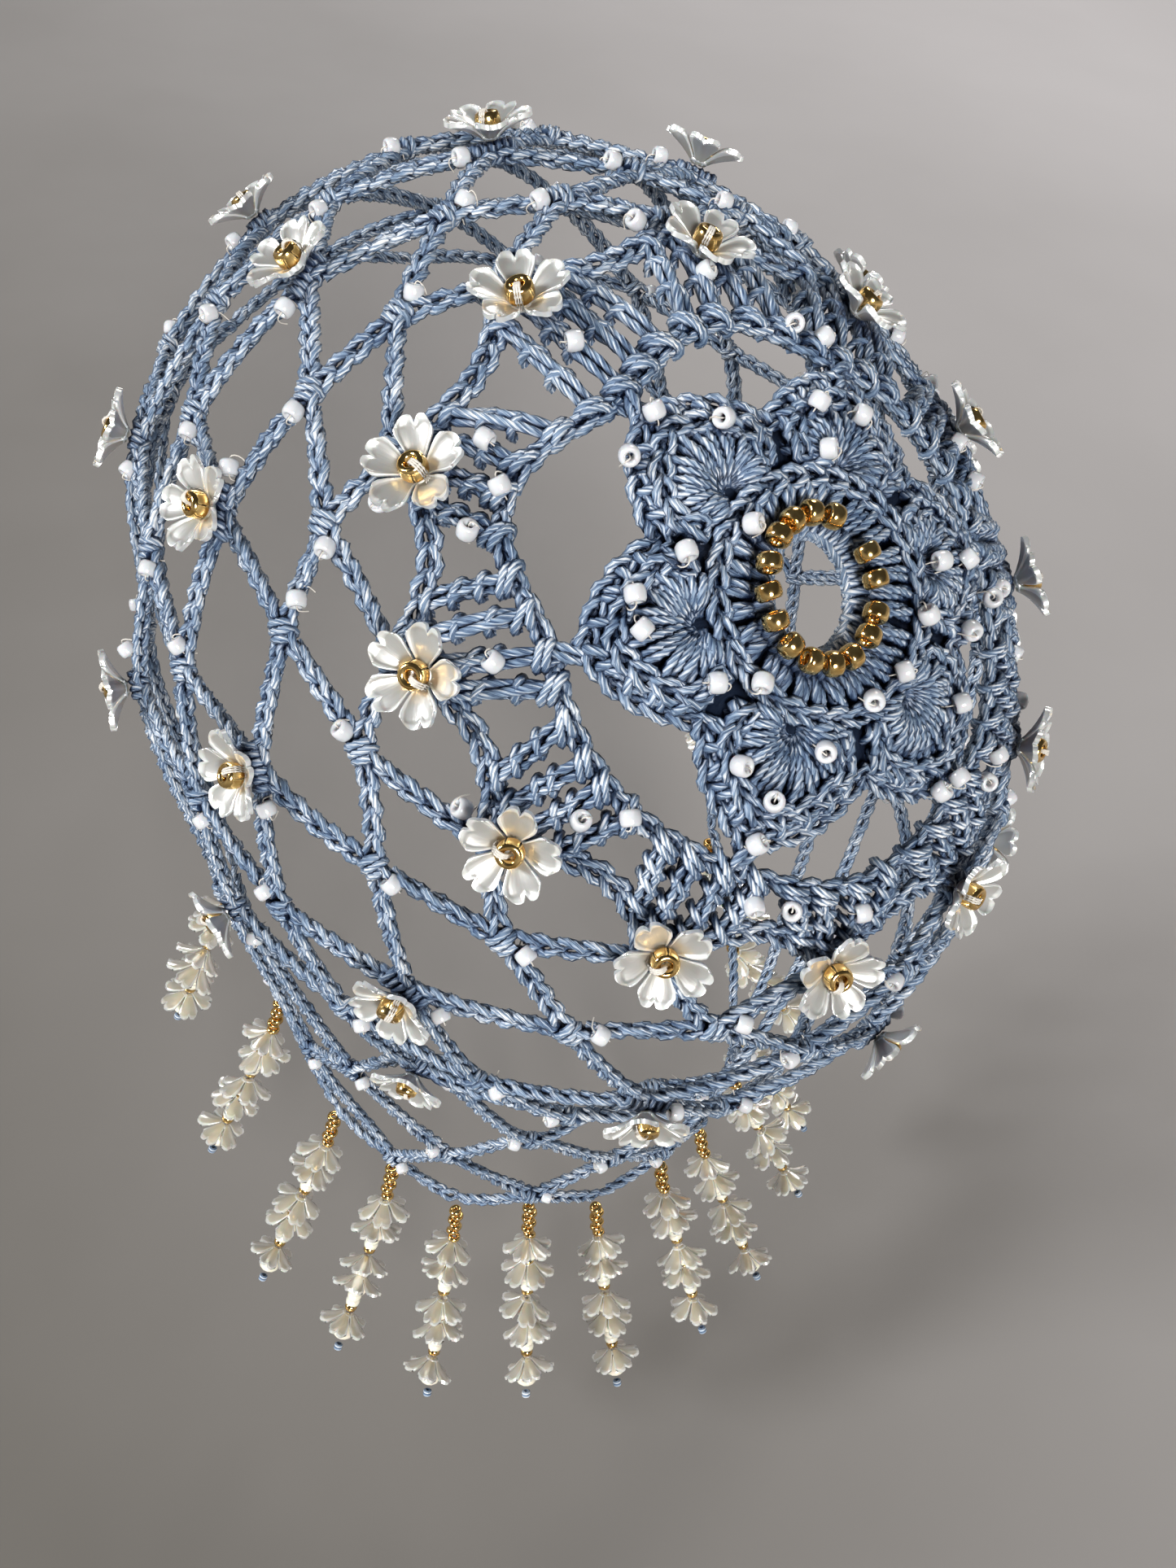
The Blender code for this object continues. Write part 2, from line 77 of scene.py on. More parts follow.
# Band and rosette
PETALS = 6
PETAL_ANGLE = 2.0 * math.pi / PETALS
FIRST_PETAL_TURN = math.radians(358.0)
BAND_INNER = math.radians(23.0)
BAND_WINDOWS_DEG = (0.4, 1.0, 0.6, 0.6, 2.4, 4.3)
VALLEY_POLAR = math.radians(15.6)
TIP_POLAR = math.radians(21.8)
OVAL_TURN = math.radians(345.0)
OVAL_SHIFT = math.radians(1.4)
HOLE_SHORT = math.radians(3.3)
HOLE_LONG = math.radians(4.6)
RING_SHORT = math.radians(4.8)
RING_LONG = math.radians(5.9)
RING_PLACES = 16
RING_EMPTY_ANGLE = math.radians(229.5)
ROSETTE_THICKNESS = 0.0030
RING_BEAD_RADIUS = 0.0019

# Blossoms and fringe
BLOSSOM_ROWS = (("crown", 1), ("middle", 4), ("rim", 7))
CROWN_POLAR = math.radians(34.0)
CROWN_LEAN = math.radians(-2.5)
CROWN_SWAY = math.radians(4.0)
PULL = math.radians(4.5)
PULL_TURN = math.radians(235.0)
PULL_REACH = math.radians(80.0)
BLOSSOM_PETALS = 5
BLOSSOM_RADIUS = 0.0066
BLOSSOM_SEAT = CHAIN_THICKNESS + 0.0005
STRAND_COLUMNS = tuple(0.5 * step for step in range(2, 16))
STRAND_LENGTH = 0.056
STRAND_TOP_GAP = 0.0009
STRAND_SWING = math.radians(43.0)
STRAND_EAR_SWING = math.radians(24.0)
STRAND_FIRST_SWING = math.radians(14.0)
STRAND_BEND = 0.020
STRAND_GATHER = 0.72
STRAND_LEAN = math.radians(5.0)
STRAND_PATH_STEPS = 40

# Yarn and stitches
YARN_RADIUS = 0.00073
YARN_PLIES = 3
YARN_LOBE = 0.09
YARN_STRANDS = 6
YARN_TWIST = 0.0085
# Depth of the grooves between plies: it sets the bump and also darkens the colour there as painted shade
YARN_GROOVE_BUMP_AND_SHADE = -0.11
YARN_TUFTS = 0.45
YARN_WANDER = 0.45
STITCH_LENGTH = 0.0034
STITCH_SAMPLES = 15
CHAIN_HALF_WIDTH = 0.00116
CHAIN_DEPTH = 0.0011


# Vectors
def unit(vectors):
    return vectors / np.maximum(np.linalg.norm(vectors, axis=-1, keepdims=True), 1e-12)


def lerp(first, second, share):
    return first + (second - first) * share


def smooth_step(value):
    value = min(max(value, 0.0), 1.0)
    return value * value * (3.0 - 2.0 * value)


def smooth_path(controls, count):
    """Catmull-Rom curve through control points."""
    controls = np.asarray(controls, float)
    spans = len(controls) - 1
    where = np.linspace(0.0, spans, count)
    index = np.minimum(where.astype(int), spans - 1)
    share = (where - index)[:, None]
    before, first, second, after = (controls[np.clip(index + step, 0, spans)] for step in (-1, 0, 1, 2))
    return 0.5 * (
        2.0 * first
        + (second - before) * share
        + (2.0 * before - 5.0 * first + 4.0 * second - after) * share ** 2
        + (3.0 * first - before - 3.0 * second + after) * share ** 3
    )


# Places on the cap
def head_place(polar, turn):
    """Points on the head form and the normals there, from arrays of polar angles and turns."""
    polar, turn = np.broadcast_arrays(np.asarray(polar, float), np.asarray(turn, float))
    across = np.sin(polar) * np.cos(turn)
    down_back = np.sin(polar) * np.sin(turn)
    along = np.cos(polar)
    way = np.stack((
        across,
        down_back * math.cos(POLE_TILT) + along * math.sin(POLE_TILT),
        along * math.cos(POLE_TILT) - down_back * math.sin(POLE_TILT),
    ), axis=-1)
    point = way / np.linalg.norm(way / HEAD_HALF_AXES, axis=-1, keepdims=True)
    return point, unit(point / HEAD_HALF_AXES ** 2)


def crown_point(polar, turn, lift):
    point, normal = head_place(polar, turn)
    return HEAD_CENTRE + point + normal * np.asarray(lift)[..., None]


def net_turn(column):
    return FIRST_TURN + column * 2.0 * math.pi / COLUMNS


def away_from_nape(turn):
    return math.remainder(NAPE_TURN - turn, 2.0 * math.pi)


def head_row_place(row, column):
    turn = net_turn(column)
    turn += math.radians(ROW_SWAY_DEG[row]) * math.cos(turn - SWAY_TURN)
    return head_place(math.radians(ROW_POLAR_DEG[row]) + ROW_LEAN * math.sin(turn), turn)


def crown_blossom_spot(column):
    """Polar angle and turn of a blossom on the band."""
    turn = net_turn(column)
    turn += CROWN_SWAY * math.cos(turn - SWAY_TURN)
    away = min(abs(math.remainder(turn - PULL_TURN, 2.0 * math.pi)) / PULL_REACH, 1.0)
    pull = PULL * math.cos(0.5 * math.pi * away) ** 2
    return CROWN_POLAR + CROWN_LEAN * math.sin(turn) - pull, turn


def net_place(row, column):
    """Point and outward normal of the net's inside at a row and a column."""
    point, normal = head_row_place(row, column)
    if row <= LAST_HEAD_ROW:
        return HEAD_CENTRE + point, normal
    away = away_from_nape(net_turn(column))
    hang = 1.0 - smooth_step((abs(away) - HANG_FULL) / HANG_FADE)
    angle = away * NECK_SPREAD
    outward = np.array((math.sin(angle), math.cos(angle), 0.0))
    rim = np.array((
        NECK_RADIUS * NECK_WIDENING * outward[0],
        NECK_BEHIND + NECK_RADIUS * outward[1],
        -NECK_DROP - (ARCH_SAG if row == LAST_ROW else 0.0),
    ))
    top, top_normal = head_row_place(LAST_HEAD_ROW, column)
    share = ROW_HANG_SHARE[row]
    hanging = lerp(top, rim, share)
    hanging_normal = lerp(top_normal, outward, share)
    return HEAD_CENTRE + lerp(point, hanging, hang), unit(lerp(normal, hanging_normal, hang))


def knot_frame(row, column):
    """Outward normal, direction along the row and direction down the cap at a knot."""
    above, outward = net_place(row - 1, column)
    below, _ = net_place(row + 1, column)
    left, _ = net_place(row, column - 0.5)
    right, _ = net_place(row, column + 0.5)
    normal = unit(np.cross(below - above, right - left))
    if normal @ outward < 0.0:
        normal = -normal
    along = unit(right - left)
    return normal, along, np.cross(normal, along)


CROWN_RADIUS = float(np.linalg.norm(head_place(0.0, 0.0)[0]))


def flat(x, y, lift):
    """Millimetres round the pole, x towards the first petal's tip, laid onto the head form."""
    x, y = np.asarray(x, float) * MM, np.asarray(y, float) * MM
    polar = np.hypot(x, y) / CROWN_RADIUS
    turn = np.arctan2(y, x) + FIRST_PETAL_TURN
    return crown_point(polar, turn, np.asarray(lift, float) * MM)


def flat_radius(polar):
    """Millimetres from the pole."""
    return polar * CROWN_RADIUS / MM


def flat_spot(polar, turn):
    """Millimetres round the pole of a polar angle and a turn."""
    angle = turn - FIRST_PETAL_TURN
    return np.stack((flat_radius(polar) * np.cos(angle), flat_radius(polar) * np.sin(angle)), axis=-1)


def oval_place(angle, short, long):
    """Polar angle and turn of a point of an oval round the open middle."""
    x = OVAL_SHIFT + short * np.cos(angle)
    y = long * np.sin(angle)
    return np.hypot(x, y), OVAL_TURN + np.arctan2(y, x)


def oval_spot(angle, grow):
    """Millimetres round the pole of the open middle's edge, moved out by grow millimetres."""
    more = grow * MM / CROWN_RADIUS
    return flat_spot(*oval_place(angle, HOLE_SHORT + more, HOLE_LONG + more))


# Meshes
ANY_DIRECTION = (0.31, 0.57, 0.76)


class Shape:
    """Collects the faces of one piece, with a UV corner for each face corner."""

    def __init__(self):
        self.points = []
        self.corners = []
        self.sizes = []
        self.uvs = []
        self.count = 0

    def add(self, points, faces, uvs):
        self.points.append(points.reshape(-1, 3))
        self.corners.append((faces + self.count).ravel())
        self.sizes.append(np.full(len(faces), faces.shape[1]))
        self.uvs.append(uvs.reshape(-1, 2))
        self.count += points.size // 3

    def grid(self, points, u, v, wrap_rings=False):
        """Quads over closed rings of points.

        v has one value a side and one more. u has one value a ring, and one more where the rings close.
        """
        rings, sides = points.shape[:2]
        last_ring = rings if wrap_rings else rings - 1
        ring, side = np.meshgrid(np.arange(last_ring), np.arange(sides), indexing="ij")
        ring, side = ring.ravel(), side.ravel()
        next_ring = (ring + 1) % rings
        next_side = (side + 1) % sides
        faces = np.stack((
            ring * sides + side,
            ring * sides + next_side,
            next_ring * sides + next_side,
            next_ring * sides + side,
        ), axis=1)
        uvs = np.stack((
            np.stack((u[ring], v[side]), axis=-1),
            np.stack((u[ring], v[side + 1]), axis=-1),
            np.stack((u[ring + 1], v[side + 1]), axis=-1),
            np.stack((u[ring + 1], v[side]), axis=-1),
        ), axis=1)
        self.add(points, faces, uvs)

    def cap(self, ring, uv, flip):
        order = np.arange(len(ring))[None, :]
        if flip:
            order = order[:, ::-1]
        self.add(ring, order, np.tile(np.asarray(uv, float), (len(ring), 1)))

    def tube(self, path, radius, sides=6, lobe=0.0, twist=None, closed=False):
        """Tube along a path. Its plies stand out by lobe, a share of the radius, turning once every twist."""
        path = np.asarray(path, float)
        total = len(path)
        if closed:
            ahead = np.roll(path, -1, axis=0) - np.roll(path, 1, axis=0)
        else:
            ahead = np.gradient(path, axis=0)
        ahead = unit(ahead)
        spans = np.linalg.norm(np.diff(np.vstack((path, path[:1])), axis=0), axis=1)
        along = np.concatenate(([0.0], np.cumsum(spans)))
        length = along[total] if closed else along[total - 1]
        side = np.empty_like(path)
        side[0] = unit(np.cross(ahead[0], ANY_DIRECTION))
        for index in range(1, total):
            step = side[index - 1] - ahead[index] * (side[index - 1] @ ahead[index])
            side[index] = step / math.sqrt(step @ step)
        turning = np.zeros(total)
        turns = length / twist if twist else 0.0
        if closed:
            back = side[-1] - ahead[0] * (side[-1] @ ahead[0])
            error = math.atan2(np.cross(back, side[0]) @ ahead[0], back @ side[0])
            turns = round(turns)
            turning = error * along[:total] / length
        turning = turning + 2.0 * math.pi * turns * along[:total] / length
        other = np.cross(ahead, side)
        share = np.arange(sides) / sides
        angle = 2.0 * math.pi * share[None, :] + turning[:, None]
        reach = radius * (1.0 - lobe * np.cos(2.0 * math.pi * YARN_PLIES * share))
        rings = (
            path[:, None, :]
            + (np.cos(angle) * reach)[..., None] * side[:, None, :]
            + (np.sin(angle) * reach)[..., None] * other[:, None, :]
        )
        self.grid(rings, along / MM, np.append(share, 1.0), wrap_rings=closed)
        if not closed:
            self.cap(rings[0], (0.0, 0.5), True)
            self.cap(rings[-1], (along[total - 1] / MM, 0.5), False)

    def yarn(self, path, closed=False):
        self.tube(path, YARN_RADIUS, lobe=YARN_LOBE, twist=YARN_TWIST, closed=closed)

    def make(self, name, material, slot, nodes=()):
        """The finished piece, riding on the cap; the solids that it stands for are hidden."""
        mesh = bpy.data.meshes.new(name)
        points = np.concatenate(self.points).astype(np.float32)
        corners = np.concatenate(self.corners).astype(np.int32)
        sizes = np.concatenate(self.sizes)
        starts = np.concatenate(([0], np.cumsum(sizes)[:-1])).astype(np.int32)
        mesh.vertices.add(len(points))
        mesh.vertices.foreach_set("co", points.ravel())
        mesh.loops.add(len(corners))
        mesh.loops.foreach_set("vertex_index", corners)
        mesh.polygons.add(len(sizes))
        mesh.polygons.foreach_set("loop_start", starts)
        mesh.polygons.foreach_set("use_smooth", np.full(len(sizes), True))
        layer = mesh.uv_layers.new(name="UVMap")
        layer.data.foreach_set("uv", np.concatenate(self.uvs).astype(np.float32).ravel())
        mesh.update(calc_edges=True)
        mesh.materials.append(material)
        piece = bpy.data.objects.new(name, mesh)
        bpy.context.scene.collection.objects.link(piece)
        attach(piece, "root")
        if nodes:
            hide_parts(*nodes)
        return piece


class Course:
    """A line on the cap that stitches follow: points with outward normals."""

    def __init__(self, points, outs, closed=False):
        if closed:
            points = np.vstack((points, points[:1]))
            outs = np.vstack((outs, outs[:1]))
        self.closed = closed
        self.points = points
        steps = np.linalg.norm(np.diff(points, axis=0), axis=1)
        self.along = np.concatenate(([0.0], np.cumsum(steps)))
        self.length = self.along[-1]
        ahead = np.gradient(points, axis=0)
        if closed:
            ahead[0] = ahead[-1] = points[1] - points[-2]
        ahead = unit(ahead)
        self.outs = unit(outs - ahead * np.sum(outs * ahead, axis=1, keepdims=True))
        self.across = np.cross(ahead, self.outs)

    def read(self, values, where):
        return np.stack([np.interp(where, self.along, values[:, axis]) for axis in range(3)], axis=-1)

    def place(self, where, across, lift):
        if self.closed:
            where = np.mod(where, self.length)
        return (
            self.read(self.points, where)
            + self.read(self.across, where) * np.asarray(across)[..., None]
            + self.read(self.outs, where) * np.asarray(lift)[..., None]
        )


# Crochet
# One chain stitch, a loop drawn up through the one before and the bump that links it to the next:
# across in half widths, along in stitches and lift in depths.
CHAIN_STITCH = np.array((
    (-0.22, -0.06, -0.35),
    (-0.42, 0.22, 0.36),
    (-0.92, 0.58, 0.30),
    (-1.00, 0.90, 0.02),
    (-0.66, 1.18, -0.22),
    (0.00, 1.29, -0.30),
    (0.66, 1.18, -0.22),
    (1.00, 0.90, 0.02),
    (0.92, 0.58, 0.30),
    (0.42, 0.22, 0.36),
    (0.22, -0.06, -0.35),
    (0.16, 0.22, -0.66),
    (0.00, 0.62, -0.70),
))
STITCH_WOBBLE = (0.05, 0.035, 0.06)


def lay_chain(shape, course, start, end, half_width=CHAIN_HALF_WIDTH, lift=0.0, roll=0.0,
              stitch=STITCH_LENGTH, closed=False):
    """A crochet chain along a course. roll turns it about its own line, in radians, at start and end."""
    count = max(int(round((end - start) / stitch)), 1)
    pitch = (end - start) / count
    rows = np.tile(CHAIN_STITCH, (count, 1))
    rows[:, 1] += np.repeat(np.arange(count), len(CHAIN_STITCH))
    rows += chance.normal(0.0, 1.0, rows.shape) * STITCH_WOBBLE
    if closed:
        rows = np.vstack((rows, rows[:1] + (0.0, count, 0.0)))
    path = smooth_path(rows, count * STITCH_SAMPLES + 1)
    if closed:
        path = path[:-1]
    share = path[:, 1] / count
    angle = lerp(roll[0], roll[1], share) if np.ndim(roll) else np.full(len(path), roll)
    x = path[:, 0] * half_width
    z = path[:, 2] * CHAIN_DEPTH
    across = x * np.cos(angle) - z * np.sin(angle)
    out = x * np.sin(angle) + z * np.cos(angle)
    shape.yarn(course.place(start + path[:, 1] * pitch, across, out + lift), closed)


def lay_coil(shape, centre, axis, up, side, length, turns, half_height, half_width):
    """Turns of yarn wound round an axis: up and side span the ring of a turn."""
    share = np.linspace(0.0, 1.0, int(turns * 11) + 1)
    angle = 2.0 * math.pi * turns * share - 0.5 * math.pi
    swell = 1.0 - 0.10 * (2.0 * share - 1.0) ** 2
    path = (
        centre
        + axis * ((share - 0.5) * length)[:, None]
        + side * (np.cos(angle) * half_width * swell)[:, None]
        + up * (np.sin(angle) * half_height * swell)[:, None]
    )
    shape.yarn(path + chance.normal(0.0, 0.00005, path.shape))


def edge_course(first, second):
    """A chain's line between two knots, bowed with the surface by the normals at its ends."""
    (start, start_normal), (end, end_normal) = first, second
    chord = end - start
    start_way = chord - start_normal * (chord @ start_normal)
    end_way = chord - end_normal * (chord @ end_normal)
    share = np.linspace(0.0, 1.0, 13)[:, None]
    points = (
        start * (1.0 + 2.0 * share) * (1.0 - share) ** 2
        + start_way * share * (1.0 - share) ** 2
        + end * share ** 2 * (3.0 - 2.0 * share)
        - end_way * share ** 2 * (1.0 - share)
    )
    outs = unit(lerp(start_normal, end_normal, share))
    bow = np.cross(unit(chord), outs[6]) * chance.normal(0.0, 0.0004)
    return Course(points + bow * np.sin(math.pi * share), outs)


KNOT_TRIM = 0.0012
CHAIN_ZONES = (("net_chains_crown", 1, 4), ("net_chains_sides", 4, 7), ("net_chains_nape", 7, 11))


def knots(first_row, last_row):
    """Row and column of each knot, from the first row to the one before the last."""
    for row in range(first_row, last_row):
        first_half = 1 if row % 2 == 0 else 0
        for half_columns in range(first_half, 2 * COLUMNS, 2):
            yield row, half_columns / 2.0


def make_net_chains(material):
    """The chains of every diamond, in three pieces from the crown down."""
    for name, first_row, last_row in CHAIN_ZONES:
        shape = Shape()
        for row, column in knots(first_row, last_row):
            for step in (-0.5, 0.5):
                course = edge_course(net_place(row, column), net_place(row + 1, column + step))
                roll = chance.normal(0.0, 0.30) + np.array((-0.5, 0.5)) * chance.normal(0.0, 0.7)
                lay_chain(shape, course, KNOT_TRIM, course.length - KNOT_TRIM,
                          lift=CHAIN_THICKNESS / 2.0, roll=roll)
        shape.make(name, material, "cotton_net", ("net",))


# Turns, length and half height of the coil at a knot, by row, and at all the other rows
BLOSSOM_COILS = {1: (4.0, 0.0050, 0.0017), 4: (6.0, 0.0078, 0.0016), 7: (4.0, 0.0050, 0.0017)}
KNOT_COIL = (2.4, 0.0028, 0.0018)
COIL_HALF_WIDTH = 0.00125


def make_net_knots(material):
    """A coil of yarn round each crossing, with longer ones under the blossoms."""
    shape = Shape()
    for row, column in knots(1, LAST_ROW):
        point, _ = net_place(row, column)
        normal, along, down = knot_frame(row, column)
        turns, length, height = BLOSSOM_COILS.get(row, KNOT_COIL)
        axis = unit(along + down * chance.normal(0.0, 0.12))
        centre = point + normal * (CHAIN_THICKNESS / 2.0 + 0.0002)
        up = unit(np.cross(normal, axis))
        lay_coil(shape, centre, axis, up, normal, length, turns, height, COIL_HALF_WIDTH)
    shape.make("net_knots", material, "cotton_net", ("net",))


# Rosette
# The map is flat: millimetres from the pole, and lifts in millimetres over the head form
FAN_BASE = 18.1
FAN_SPREAD = math.radians(100.0)
FAN_SHARE = 0.62
LOWEST_LIFT = 0.55
SHORTEST_RIM_REACH = 6.5


def outline_radius(turn):
    """Millimetres from the pole to the rosette's outline at a turn from the first petal's tip."""
    offset = np.abs(np.mod(turn + PETAL_ANGLE / 2.0, PETAL_ANGLE) - PETAL_ANGLE / 2.0)
    share = offset / (PETAL_ANGLE / 2.0)
    swell = 0.9 * np.sin(math.pi * share)
    return flat_radius(TIP_POLAR + (VALLEY_POLAR - TIP_POLAR) * share) + swell


def petal_reach(angle):
    """Millimetres from a fan's base to the petal's edge, at an angle from straight out."""
    steps = np.linspace(0.0, 20.0, 401)
    x = FAN_BASE + steps * math.cos(angle)
    y = steps * math.sin(angle)
    turn = np.arctan2(y, x)
    inside = (np.hypot(x, y) < outline_radius(turn)) & (np.abs(turn) < PETAL_ANGLE / 2.0 - 0.02)
    return float(steps[np.argmin(inside)]) if not inside.all() else 20.0


def petal_place(petal, angle, reach, lift):
    """A place in one petal, by angle and distance from its fan's base."""
    angle, reach = np.asarray(angle, float), np.asarray(reach, float)
    x = FAN_BASE + reach * np.cos(angle)
    y = reach * np.sin(angle)
    turn = petal * PETAL_ANGLE
    return flat(x * math.cos(turn) - y * math.sin(turn), x * math.sin(turn) + y * math.cos(turn), lift)


def rosette_course(points, closed=False):
    return Course(points, unit(points - HEAD_CENTRE), closed)


def lay_post(shape, place, start, end, lifts, strands=3, feet=0.50, heads=0.72, turn=2.4, samples=9):
    """A stitch's post between two places of the map: strands side by side, slightly twisted together.

    lifts are heights over the head form along the post, and feet and heads are the strands' distances from
    its middle line, all in millimetres.
    """
    start, end = np.asarray(start, float), np.asarray(end, float)
    way = unit(end - start)
    across = np.array((-way[1], way[0]))
    share = np.linspace(0.0, 1.0, len(lifts))
    first_angle = chance.uniform(0.0, 2.0 * math.pi)
    turn = turn * chance.uniform(0.7, 1.2) * chance.choice((-1.0, 1.0))
    for strand in range(strands):
        angle = first_angle + 2.0 * math.pi * strand / strands + turn * share
        reach = lerp(feet, heads, share) * chance.uniform(0.9, 1.15)
        wobble = chance.normal(0.0, 0.06, len(lifts))
        aside = reach * np.cos(angle) + wobble
        spots = start + (end - start) * share[:, None] + across * aside[:, None]
        lift = np.maximum(np.asarray(lifts) + reach * np.sin(angle) * 0.8, LOWEST_LIFT)
        path = smooth_path(np.column_stack((spots, lift)), samples)
        shape.yarn(place(path[:, 0], path[:, 1], path[:, 2]))


# Rosette: distances on its map and heights over the head form in millimetres, radii and twists in metres
ROUND_ONE_POSTS = 30
ROUND_ONE_HEADS = 30
ROUND_ONE_RADIUS = 15.9
OVAL_EDGES = ((0.8, 1.3, 0.0008, 0.08, 0.008), (2.4, 1.2, 0.0009, 0.10, 0.007))
OVAL_LIFTS = (0.6, 2.0, 2.3, 1.3)
ROUND_LIFTS = (1.0, 2.2, 2.5, 2.2, 1.3)
EDGING_LIFTS = (1.6, 2.5, 2.4, 1.5)
INSIDE_LIFTS = (0.6, 0.5, 0.6)
FAN_LIFTS = (0.4, 2.1, 3.1, 3.0, 2.0)
FAN_POSTS = 11
FAN_FOOT = 0.8
RIM_POSTS = 13
RIM_INSET = 1.2
RIM_LEAN = 0.6
EDGING_INSET = 1.4
GROUND_INSET = 1.3
# The lower and the upper side of the ground, a dark sheet of painted shade, at its edges and between them
GROUND_LIFTS = ((0.9, 1.0), (1.2, 1.4))
ROUND_TURNS = np.linspace(0.0, 2.0 * math.pi, 361)[:-1]


def make_rosette(material, shade):
    """Open middle, a round of posts, six fans of posts, and an edging of chain stitches."""
    shape, inside = Shape(), Shape()
    steps = np.linspace(0.0, 2.0 * math.pi, 121)[:-1]
    for grow, lift, radius, lobe, twist in OVAL_EDGES:
        spots = oval_spot(steps, grow)
        edge = flat(spots[:, 0], spots[:, 1], np.full(len(steps), lift))
        shape.tube(edge, radius, 8, lobe=lobe, twist=twist, closed=True)
    for post in range(ROUND_ONE_POSTS):
        angle = 2.0 * math.pi * (post + chance.normal(0.0, 0.10)) / ROUND_ONE_POSTS
        foot, middle = oval_spot(angle, 0.3), oval_spot(angle, 3.6)
        lay_post(shape, flat, foot, middle, OVAL_LIFTS, strands=2, feet=0.40, heads=0.55, turn=1.0)
        tilt = angle + OVAL_TURN - FIRST_PETAL_TURN
        head = np.array((math.cos(tilt), math.sin(tilt))) * (ROUND_ONE_RADIUS - 0.5)
        lay_post(shape, flat, oval_spot(angle, 3.2), head, ROUND_LIFTS, feet=0.45, heads=0.70)
        lay_post(inside, flat, oval_spot(angle, 1.4), head, INSIDE_LIFTS, strands=2, feet=0.5, heads=0.8)
    ring = flat(ROUND_ONE_RADIUS * np.cos(steps), ROUND_ONE_RADIUS * np.sin(steps), np.zeros(len(steps)))
    heads = rosette_course(ring, closed=True)
    lay_chain(shape, heads, 0.0, heads.length, lift=0.0026, half_width=0.00125,
              stitch=heads.length / ROUND_ONE_HEADS, closed=True)
    for petal in range(PETALS):
        make_petal(shape, inside, petal)
    reach = outline_radius(ROUND_TURNS) - EDGING_INSET
    edge = flat(reach * np.cos(ROUND_TURNS), reach * np.sin(ROUND_TURNS), np.zeros(len(ROUND_TURNS)))
    edging = rosette_course(edge, closed=True)
    lay_chain(shape, edging, 0.0, edging.length, lift=0.0019, half_width=0.0013, closed=True)
    shape.make("crown_stitches", material, "cotton_crown", ("crown_rosette",))
    inside.make("crown_inside", material, "cotton_crown", ("crown_rosette",))
    make_rosette_shade_ground(shade)


def make_petal(shape, inside, petal):
    """A fan of posts, a row of chain stitches on their heads, and short posts that carry the edging."""
    def spot(x, y, lift):
        return petal_place(petal, np.arctan2(y, x), np.hypot(x, y), lift)

    for angle in np.linspace(-FAN_SPREAD, FAN_SPREAD, FAN_POSTS):
        angle += chance.normal(0.0, 0.03)
        reach = petal_reach(angle) * FAN_SHARE
        way = np.array((math.cos(angle), math.sin(angle)))
        lay_post(shape, spot, way * FAN_FOOT, way * reach, FAN_LIFTS, feet=0.22, heads=0.78)
        foot = way * FAN_FOOT
        lay_post(inside, spot, foot, way * reach, INSIDE_LIFTS, strands=2, feet=0.3, heads=0.9)
        rim = way * (reach / FAN_SHARE - RIM_INSET)
        lay_post(inside, spot, way * reach, rim, INSIDE_LIFTS, strands=2, feet=0.9, heads=0.8)
    dense = np.linspace(-FAN_SPREAD, FAN_SPREAD, 60)
    reach = np.array([petal_reach(angle) for angle in dense])
    middle = rosette_course(petal_place(petal, dense, reach * 0.70, np.zeros(60)))
    lay_chain(shape, middle, 0.0, middle.length, lift=0.0028, half_width=0.0013)
    for angle in np.linspace(-FAN_SPREAD * 0.92, FAN_SPREAD * 0.92, RIM_POSTS):
        angle += chance.normal(0.0, 0.03)
        reach = petal_reach(angle)
        way = np.array((math.cos(angle), math.sin(angle)))
        side = np.array((-way[1], way[0])) * chance.choice((-RIM_LEAN, RIM_LEAN))
        if reach > SHORTEST_RIM_REACH:
            foot, head = way * reach * 0.72 - side, way * (reach - RIM_INSET) + side
            lay_post(shape, spot, foot, head, EDGING_LIFTS, strands=2, feet=0.5, heads=0.6, turn=1.6)


def make_rosette_shade_ground(material):
    """A dark sheet of painted shade under the stitches, in a darker copy of the yarn, that shows between
    them.
    """
    shape = Shape()
    turns = np.linspace(0.0, 2.0 * math.pi, 181)[:-1]
    shares = np.linspace(0.0, 1.0, 17)[:, None]
    tilt = OVAL_TURN - FIRST_PETAL_TURN
    inner = oval_spot(turns - tilt, 0.9)
    outer_radius = outline_radius(turns) - GROUND_INSET
    outer = np.stack((outer_radius * np.cos(turns), outer_radius * np.sin(turns)), axis=-1)
    spots = lerp(inner[None], outer[None], shares[..., None])
    layers = []
    for low, high in GROUND_LIFTS:
        lift = np.where((shares == 0.0) | (shares == 1.0), low, high) * np.ones(len(turns))
        layers.append(flat(spots[..., 0], spots[..., 1], lift))
    rings = np.concatenate((layers[1], layers[0][::-1]))
    shape.grid(rings, np.arange(len(rings) + 1.0), np.arange(len(turns) + 1.0), wrap_rings=True)
    shape.make("crown_shade_ground", material, "cotton_crown", ("crown_rosette",))


# Band
# Turns of a column's four posts at their feet, in degrees, and the share of them left at their heads
BAND_RUNGS = 48
BAND_OFFSETS = (-11.25, -3.75, 3.75, 11.25)
BAND_GATHER = 0.62
BAND_OUTER = math.radians(33.3)
BAND_PEAK = math.radians(1.2)
BAND_TIE_POLAR = math.radians(37.2)
LINK_HALF = 1.5
BAND_LIFTS = (1.4, 2.3, 2.5, 2.2, 1.6)
# How far, as polar angles, a post's foot stands inside the inner edge and its head inside the outer edge
BAND_FOOT_IN, BAND_HEAD_IN = 0.010, 0.004
# Wraps of a post, with half widths: the first two, those near its middle as shares of its length, and the
# last, from its head
FIRST_WRAPS = ((0.4, 1.85), (1.5, 1.85))
MIDDLE_WRAP_SHARES = ((0.34, 0.44), (0.58, 0.70))
MIDDLE_WRAP_WIDTH = 1.5
LAST_WRAP = (0.9, 1.7)
WRAP_OVERLAP = 0.7
WRAP_BASE, WRAP_RISE = 1.25, 1.75
